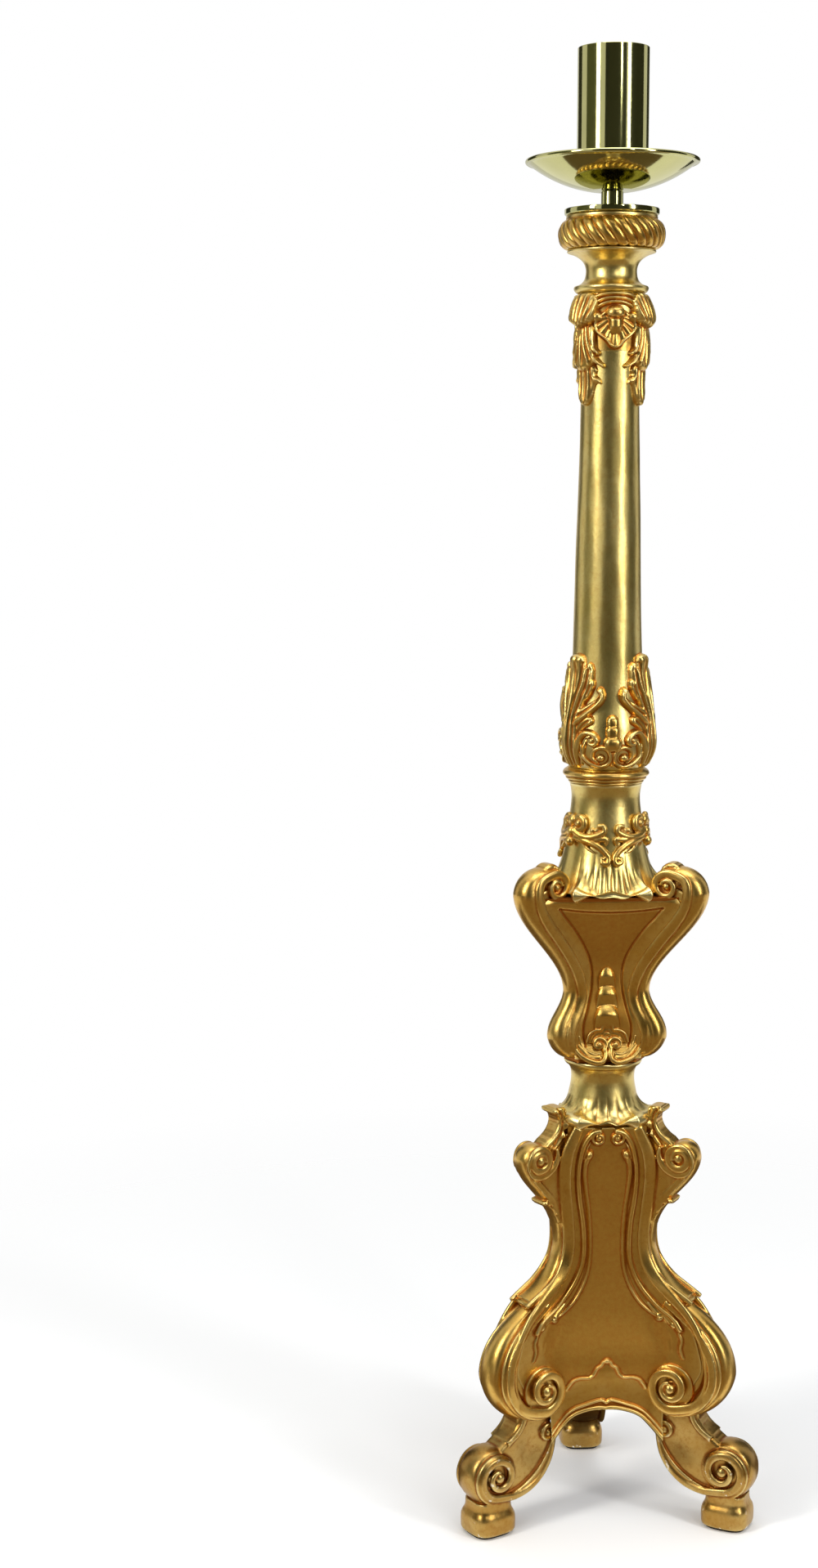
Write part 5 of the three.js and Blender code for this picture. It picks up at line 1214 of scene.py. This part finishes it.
def upper_leaf():
    """Three tiers of leaves at a corner, each ribbed and curling out at its tips."""
    # tiers from below: outline, height, width of its soft edge, how its height changes
    # with z, and its ribs
    tiers = (([(-6, 920.5), (0, 920.5), (4.6, 922.6), (7.4, 927.4), (9.2, 934), (11.4, 938), (14.8, 937.4),
        (14.2, 941.4), (10.6, 945), (11.6, 948.6), (7.4, 955), (-6, 955)], 4.2, 4.0, [(920, 1.15), (926, 1.0),
        (936, 0.8), (955, 0.9)], (1.1, 1.4, [(0, 952), (0, 936), (0, 922)], [(4.6, 952), (5.0, 938), (4.4, 926)],
        [(8.0, 950), (9.4, 942), (13.6, 939.6)])), ([(-6, 948.5), (3, 948), (6.6, 949.6), (9.4, 953), (12.6, 952),
        (17.0, 949.8), (17.8, 952.4), (13.2, 956.6), (11.0, 960.4), (13.0, 959.4), (14.0, 962.4), (10.8, 967),
        (10.8, 974), (9, 984), (-6, 984)], 6.6, 4.4, [(948, 1.05), (954, 1.0), (968, 0.95), (984, 0.75)],
        (1.15, 1.8, [(0, 982), (0, 966), (0, 950)], [(1.6, 983), (3.6, 966), (7.0, 952.4)], [(4.2, 982), (6.8, 968),
        (11.4, 956), (16.4, 951.4)], [(7.4, 982), (9.0, 971), (10.8, 964), (13.2, 961)])), ([(-6, 981), (0, 980.6),
        (4.2, 982.6), (7.4, 984.2), (10.4, 986.6), (11.6, 991.6), (12.4, 998), (12.8, 1004), (9, 1008.6),
        (-6, 1008.6)], 10.6, 5.0, [(980, 1.05), (987, 1.0), (996, 0.80), (1004, 0.50), (1009, 0.34)],
        (1.2, 1.7, [(0, 1007), (0, 994), (0, 981)], [(5, 1008), (3.8, 996), (2.0, 984)], [(9, 1007), (7.4, 997),
        (4.4, 986)], [(12.6, 1003), (10.6, 995), (7.4, 987)])))

    def relief(x, z):
        return np.maximum.reduce([leaf_of(x, z, outline, height, edge, interp(z, lean), [ribs])
                                  for outline, height, edge, lean, ribs in tiers])
    return patch("upper_leaf", 19, 918.5, 1008.6, relief, step=0.5)


def shell_drop():
    """Shell with a wavy lip and a hood in its middle, under three arched mouldings."""
    rim = [(-3, 966.2), (0, 966.2), (3.2, 967.6), (5.2, 970.4), (8.0, 973.6), (11.6, 976.4), (14.0, 979.4),
        (14.8, 983.6), (13.2, 988.6), (10.0, 993), (5, 996), (-3, 996)]

    def relief(x, z):
        c = Carving(x, z, np.full(x.shape, SUNK))
        for arch, rise in (([(29.6, 984), (26.0, 995), (18.6, 1003.2), (10, 1007.2), (0, 1008.2)], 4.4),
                           ([(21.8, 988), (19.6, 995.6), (13.8, 1001.6), (7, 1004.4), (0, 1005.0)], 3.8),
                           ([(18.4, 990), (16.0, 995.4), (11.6, 999.0), (6, 1001.2), (0, 1001.9)], 3.2)):
            c.ridge(arch, 1.5, rise, sunk=0.3)
        line = curve([*rim, rim[0]], 0.8)
        dist, _ = along(x, z, line)
        # the shell's flutes fan out from under the hood
        fan, far = np.arctan2(x, np.maximum(991 - z, 0.05)), np.hypot(x, 991 - z)
        dish = 1.5 + 2.6 * fade(far, 0, 22)**1.5 + 0.5 * np.cos(fan * 19) * fade(far, 4, 12)
        c.h = np.where(inside(x, z, line), np.maximum(c.h, dish * np.clip(dist + 0.4, 0, 1)), c.h)
        lip = ridge(x, z, rim[1:-3], 1.15, 5.2)
        c.over(np.where(lip > 0, lip, SUNK))
        c.dome(14.4, 989.8, 4.6, 4.4, 5.6)
        hood = dome(x, z, 0, 992.6, 7.6, 6.4, 7.6)
        c.over(np.where(hood > 0, hood, SUNK))
        boss = 6.2 * half_round(x / 5.4) * fade(z, 971, 982)
        c.over(np.where((z < 992) & (z > 971), boss, SUNK))
        return c.h + groove(x, z, [(0, 988.8), (4.4, 989.6), (6.8, 991.4)], 0.8, 1.8) * (c.h > 0)
    return patch("shell_drop", 31, 963.6, 1008.8, relief, step=0.45)


def neck_r(z):
    rows = [(527, 45), (530, 50.2), (536, 43.8), (543, 39.4), (551, 36.4), (562, 33.7), (573, 31.8), (584, 30.3),
        (592, 29.2), (599, 28.2), (606, 28), (617, 29.6)]
    return interp(z, rows)


def neck_scroll():
    """A corner knot of curls and beads, with C-scrolls draped to the middle of the faces
    beside it. Angles count from the face's middle; the corner is at 60."""
    parts = []

    def at(side, deg, z, lift):
        r = float(neck_r(z)) + lift
        a = side * math.radians(60 - deg)
        return (r * math.sin(a), -r * math.cos(a), z)

    arms = [([(57, 579.5, 3.0), (46, 576, 2.4), (31, 575, 2.2), (18, 576.8, 2.2), (9.6, 580, 2.4), (11, 584, 2.8),
        (18, 584.2, 2.6)], (3.4, 3.1, 2.6, 1.8)), ([(54, 574, 2.4), (42, 572.6, 2.0), (30.5, 571, 2.0),
        (17, 567.5, 2.2), (9, 563.6, 2.4), (3.8, 558.8, 2.6), (5.4, 554.4, 3.0), (11.4, 555.0, 2.8),
        (12.4, 558.6, 2.4)], (3.2, 3.0, 2.7, 1.8)), ([(32, 574, 1.8), (22, 573.4, 2.0), (13, 573.6, 2.2),
        (6.4, 573.4, 2.4), (7.4, 569.6, 2.2)], (2.0, 2.6, 2.3, 1.5)), ([(56, 582, 2.4), (47, 579.6, 2.4),
        (39.5, 583, 2.6), (40, 588.4, 2.8), (48, 590.8, 3.2), (54, 588, 3.4), (52, 584.8, 3.2)],
        (2.6, 2.8, 2.6, 1.8)), ([(44, 572, 1.2), (34, 566.5, 1.4), (26, 563.5, 1.4), (20, 562.5, 1.2)],
        (1.6, 1.5, 1.3, 0.8))]
    for side in (-1, 1):
        for run, rad in arms:
            parts.append(cord([at(side, *p) for p in run], 0.7, dict(zip((0, 0.35, 0.7, 1), rad)), 14))
        parts += [ball(at(side, *place), r) for place, r in (((48.2, 585.6, 3.0), 3.4), ((27, 580.4, 1.6), 2.2),
            ((21, 580.6, 1.6), 2.0), ((16, 581.4, 1.6), 1.7), ((8.4, 558.2, 2.4), 2.2))]
    parts += [ball(at(1, 60, z, lift), r) for z, lift, r in ((587.6, 2.8, (4.6, 4.6, 5.0)),
        (578.6, 3.6, (4.2, 4.2, 4.4)), (570.4, 4.4, (3.9, 3.9, 4.2)), (574.6, 3.0, (2.4, 2.4, 3.4)))]
    return fused("neck_scroll", parts, 0.6, 2)


def column_collar():
    rows = profile(0.45, [(25.6, 1009.4), (27.8, 1010.2), (29.4, 1012.0), (29.9, 1013.8), (29.2, 1015.2),
        (27.6, 1015.6)], [(24.2, 1017.4), (21.6, 1020.6), (20.5, 1025.0), (20.6, 1029.6), (22.6, 1034.4),
        (26.8, 1038.2), (31.6, 1040.6), (33.8, 1041.2)], [(35.2, 1041.8), (35.5, 1042.8), (34.6, 1043.7)])
    return turned("column_collar", rows, 160)


def rope_ring():
    rows = profile(0.5, [(35.0, 1044.2), (37.8, 1045.2), (40.4, 1047.8), (42.0, 1051.6), (42.5, 1055.8),
        (41.9, 1060.2), (39.8, 1064.4), (36.9, 1066.9)], [(36.4, 1067.5), (36.5, 1068.6)], [(36.2, 1070.2)])

    def lift(a, z):
        t = fade(z, 1044.2, 1067)
        lobe = np.sqrt(1 - np.abs(np.mod(14 * (a + 0.36 * t) / PI, 1.0) * 2 - 1)**2.4)
        return np.where(z < 1067.0, (lobe - 0.86) * 2.7 * np.sin(np.clip(t, 0.03, 0.97) * PI)**0.4, 0)
    return turned("rope_ring", rows, 896, lift)


def pan_rows():
    """Shallow dish, part of a sphere, with a rolled lip; its rows run out under the dish,
    round the lip and back over it."""
    reach, deep = 69.5, 25.0           # of the cap that gives the sphere its radius
    sphere = (reach**2 + deep**2) / (2 * deep)
    flat, rim, wall, bottom, roll = 18.0, 67.6, 1.4, 1089.9, 1.8

    def rise(r):
        return bottom + (sphere - np.sqrt(sphere**2 - r**2)) - (sphere - math.sqrt(sphere**2 - flat**2))
    r = np.linspace(flat, rim - 1.9, 60)
    under = np.stack([r, rise(r)], 1)
    q = np.linspace(-0.62 * PI, 0.8 * PI, 22)
    lip = np.stack([rim - 0.1 + roll * np.cos(q), rise(rim) + wall / 2 + roll * np.sin(q)], 1)
    return np.vstack([[[12, bottom]], under, lip, (under + [0, wall])[::-1], [[12, bottom + wall]]])


def brass_rings():
    """Rows of the brass pieces under the cup, with their number of sides and their body."""
    plate_rows = profile(0.7, [(30, 1070.8), (36.6, 1070.8)], [(37.5, 1071.4), (37.8, 1072.4)], [(37.8, 1075.0)],
        [(37.6, 1075.5), (37.1, 1075.7)], [(20, 1075.7)])
    stem = profile(0.6, [(8.3, 1076.0), (8.8, 1076.5)], [(8.8, 1089.1)], [(8.3, 1089.6)])
    washer = profile(0.4, [(14.6, 1091.6), (15, 1092.0)], [(15, 1093.2)], [(14.6, 1093.6)])
    return {"brass_plate": (plate_rows, 144, "stand"), "brass_stem": (stem, 72, "stand"),
            "cup_washer": (washer, 96, "cup_rise"), "drip_pan": (pan_rows(), 192, "stand")}


def cup():
    """The open cup's wall, and the floor in it."""
    r, w, z0, z1 = 28.4, 1.2, 1093.9, 1200.0
    wall = np.array([(r - w, z0 + 0.2), (r - w + 0.3, z0), (r - 0.3, z0), (r, z0 + 0.3),
                     *((r, z) for z in np.linspace(z0 + 1, z1 - 1, 30)),
                     (r, z1 - 0.35), (r - 0.2, z1 - 0.08), (r - 0.5, z1), (r - w + 0.4, z1), (r - w + 0.1, z1 - 0.1),
                     (r - w, z1 - 0.4)])
    floor = [(r - w - 0.3, z0), (r - w - 0.3, z0 + 11.6), (r - w - 0.7, z0 + 12.0)]
    return mesh_of("candle_cup", turning(wall, 160, None, r - w)), mesh_of("cup_plug", turning(floor, 96, None, 0.02))


# ------------------------------------------------------------------ assembly
# first turn of a piece that is drawn along +X, of one on the front that stays on the
# faces, and of one drawn on the front that goes to a corner
CORNER, FACE, TO_CORNER = -PI / 6, 0.0, PI / 3

for name, make, material, slot, first in (
        ("felt_pad", foot_felt, FELT, "felt", CORNER),
        ("carved_foot", scroll_foot, FOOT_GILT_SHADED, "gilded_wood", CORNER),
        ("carved_corner", corner_scroll, GILT, "gilded_wood", CORNER),
        ("carved_base_panel", base_panel, MATTE, "matte_gilding", FACE),
        ("carved_vase_scroll", vase_scroll, GILT, "gilded_wood", CORNER),
        ("carved_vase_panel", vase_panel, MATTE, "matte_gilding", FACE),
        ("carved_vase_husk", vase_husk, GILT, "gilded_wood", FACE),
        ("carved_neck_scroll", neck_scroll, GILT, "gilded_wood", TO_CORNER),
        ("carved_lower_leaf", lower_leaf, GILT, "gilded_wood", TO_CORNER),
        ("carved_upper_leaf", upper_leaf, GILT, "gilded_wood", TO_CORNER),
        ("carved_lower_husk", lower_husk, GILT, "gilded_wood", FACE),
        ("carved_shell_drop", shell_drop, GILT, "gilded_wood", FACE)):
    me = make()
    relief_of(me)
    for k in range(3):
        put(f"{name}_{k + 1}", me, material, f"{make.__name__}_{k + 1}", turn=first + k * THIRD)
for make, material in ((lower_neck, TURNED_GILT), (vase_core, GILT), (middle_neck, TURNED_GILT), (bead_ring, GILT),
                       (column_shaft, TURNED_GILT), (column_collar, TURNED_GILT), (rope_ring, GILT)):
    me = make()
    relief_of(me)
    put("turned_" + make.__name__, me, material, make.__name__)
metal = [(name, turned(name, rows, segs), body) for name, (rows, segs, body) in brass_rings().items()]
wall, floor = cup()
for name, me, body in (*metal, ("candle_cup", wall, "cup"), ("cup_plug", floor, "cup")):
    # turned metal keeps its edges
    me.set_sharp_from_angle(angle=math.radians(32))
    put("turned_" + name, me, BRASS, name, body)


# these solids show as they are
for name, material in {"base_core": GILT, "tie_rod": STEEL, "rod_washer": STEEL, "rod_nut": STEEL}.items():
    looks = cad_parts[name].data.materials
    looks.clear()
    looks.append(material)


# ------------------------------------------------------------------ floor, light and camera
def sheet_of(name, corners, material):
    me = bpy.data.meshes.new(name)
    me.from_pydata(corners, [], [tuple(range(len(corners)))])
    me.materials.append(material)
    ob = bpy.data.objects.new(name, me)
    scene.collection.objects.link(ob)
    return ob


def floor_material():
    """Pale floor that runs out into the white background."""
    p = Paint("studio_floor")
    p.finish(srgb(246, 246, 245), 0.9)
    p.plug(0.1, p.bsdf.inputs["Specular IOR Level"])
    far = p.node("VectorMath", p.node("TexCoord").outputs["Object"], operation="LENGTH").outputs["Value"]
    share = p.ramp(p.maths("MULTIPLY", far, 0.5), (0.16, 0), (0.62, 1))
    both = p.node("MixShader", share, p.bsdf.outputs[0], p.node("BsdfTransparent").outputs[0])
    p.plug(both.outputs[0], p.out.inputs[0])
    return p.material


WIDE = 3.0                             # half width of the floor
sheet_of("studio_floor", [(-WIDE, -WIDE, 0), (WIDE, -WIDE, 0), (WIDE, WIDE, 0), (-WIDE, WIDE, 0)], floor_material())
FAR = 3.1                              # distance of the flags round the stand


def flag_material(name, colour, cover=1.0):
    p = Paint(name)
    p.plug(cover, p.bsdf.inputs["Alpha"])
    return p.finish(srgb(*colour), 1.0)


def hang_flag(name, corners, material):
    """Sheet that is seen only as a reflection."""
    flag = sheet_of(name, corners, material)
    flag.visible_camera = flag.visible_shadow = flag.visible_diffuse = False


DARK = flag_material("studio_flag", (48, 49, 34))
MIDDLE = flag_material("studio_flag_middle", (92, 94, 66))
STRIP = flag_material("studio_strip", (196, 196, 160))
VEIL = flag_material("studio_veil", (60, 58, 46), 0.3)
BROWN = flag_material("studio_flag_brown", (96, 78, 48))
OCHRE = flag_material("studio_flag_ochre", (122, 102, 68))
# azimuth from the front, half angle, top, distance and material
for i, (azimuth, half, top, far, material) in enumerate((
        (0, 34, 4.6, FAR, DARK), (74, 30, 4.2, FAR, DARK), (-75, 27, 4.2, FAR, MIDDLE), (140, 14, 3.0, FAR, DARK),
        (-142, 14, 3.0, FAR, DARK), (14, 1.2, 3.2, FAR - 0.2, STRIP), (-22, 0.9, 3.0, FAR - 0.2, STRIP),
        *[(60 * k, 30, 4.6, FAR + 0.6, VEIL) for k in range(6)])):
    ends = [math.radians(azimuth + s * half) for s in (-1, 1)]
    (x0, y0), (x1, y1) = [(far * math.sin(a), -far * math.cos(a)) for a in ends]
    hang_flag(f"studio_flag_{i + 1}", [(x0, y0, 0.05), (x1, y1, 0.05), (x1, y1, top), (x0, y0, top)], material)
# one on the floor before the stand, and one behind it that the pan's underside shows
LOW = 0.02                             # height of those two over the floor
hang_flag("studio_flag_front", [(-WIDE, -0.3, LOW), (-WIDE, -WIDE, LOW), (WIDE, -WIDE, LOW), (WIDE, -0.3, LOW),
                                (0.34, -0.17, LOW), (-0.34, -0.17, LOW)], OCHRE)
hang_flag("studio_flag_back", [(-1.2, -0.06, LOW), (1.2, -0.06, LOW), (0.16, 1.0, LOW), (-0.16, 1.0, LOW)], BROWN)

# white to the camera and in reflections, softer and cooler as light
world = scene.world = bpy.data.worlds.new("studio")
w = Nodes(world)
soft, white = (w.node("Background", Color=colour, Strength=power).outputs[0]
               for colour, power in (((0.95, 0.97, 1.0, 1), 0.62), ((1, 1, 1, 1), 1.0)))
rays = w.node("LightPath").outputs
seen = w.maths("MAXIMUM", rays["Is Camera Ray"], rays["Is Transmission Ray"])
seen = w.maths("MAXIMUM", seen, rays["Is Glossy Ray"])
w.node("OutputWorld", w.node("MixShader", seen, soft, white).outputs[0])


def lamp(name, place, aim, size, power, colour):
    """Area lamp at a place that looks at another; size is its width and height."""
    d = bpy.data.lights.new(name, "AREA")
    d.shape = "RECTANGLE"
    d.size, d.size_y = size
    d.energy = power
    d.color = colour
    ob = bpy.data.objects.new(name, d)
    ob.location = place
    ob.rotation_mode = "QUATERNION"
    ob.rotation_quaternion = (Vector(aim) - Vector(place)).to_track_quat("-Z", "Y")
    scene.collection.objects.link(ob)


lamp("key", (-2.05, -1.35, 1.9), (0, 0, 0.6), (0.5, 1.5), 34, (1.0, 0.98, 0.94))
lamp("fill", (1.65, -1.75, 1.5), (0, 0, 0.6), (0.34, 1.5), 22, (0.97, 0.98, 1.0))
lamp("spark", (0.75, -2.3, 2.0), (0, 0, 0.8), (0.14, 0.9), 6, (1.0, 1.0, 1.0))
lamp("top", (0.2, -0.3, 2.9), (0, 0, 0.5), (1.4, 1.4), 24, (1.0, 1.0, 1.0))

# the camera fitted to the photograph: focal length, place and turn
LENS, SENSOR, REACH = 53.49, 36, 50
PITCH, YAW = 82.6, -3.5                # degrees from straight down, and to the right
cam = bpy.data.cameras.new("camera")
cam.lens = LENS
cam.sensor_width = SENSOR
cam.sensor_fit = "AUTO"
cam.clip_end = REACH
cam_ob = bpy.data.objects.new("camera", cam)
cam_ob.location = (-0.2770, -1.8836 + AXIS_Y, 0.861)
cam_ob.rotation_euler = (math.radians(PITCH), 0, math.radians(YAW))
scene.collection.objects.link(cam_ob)
scene.camera = cam_ob
scene.view_settings.view_transform = "Standard"
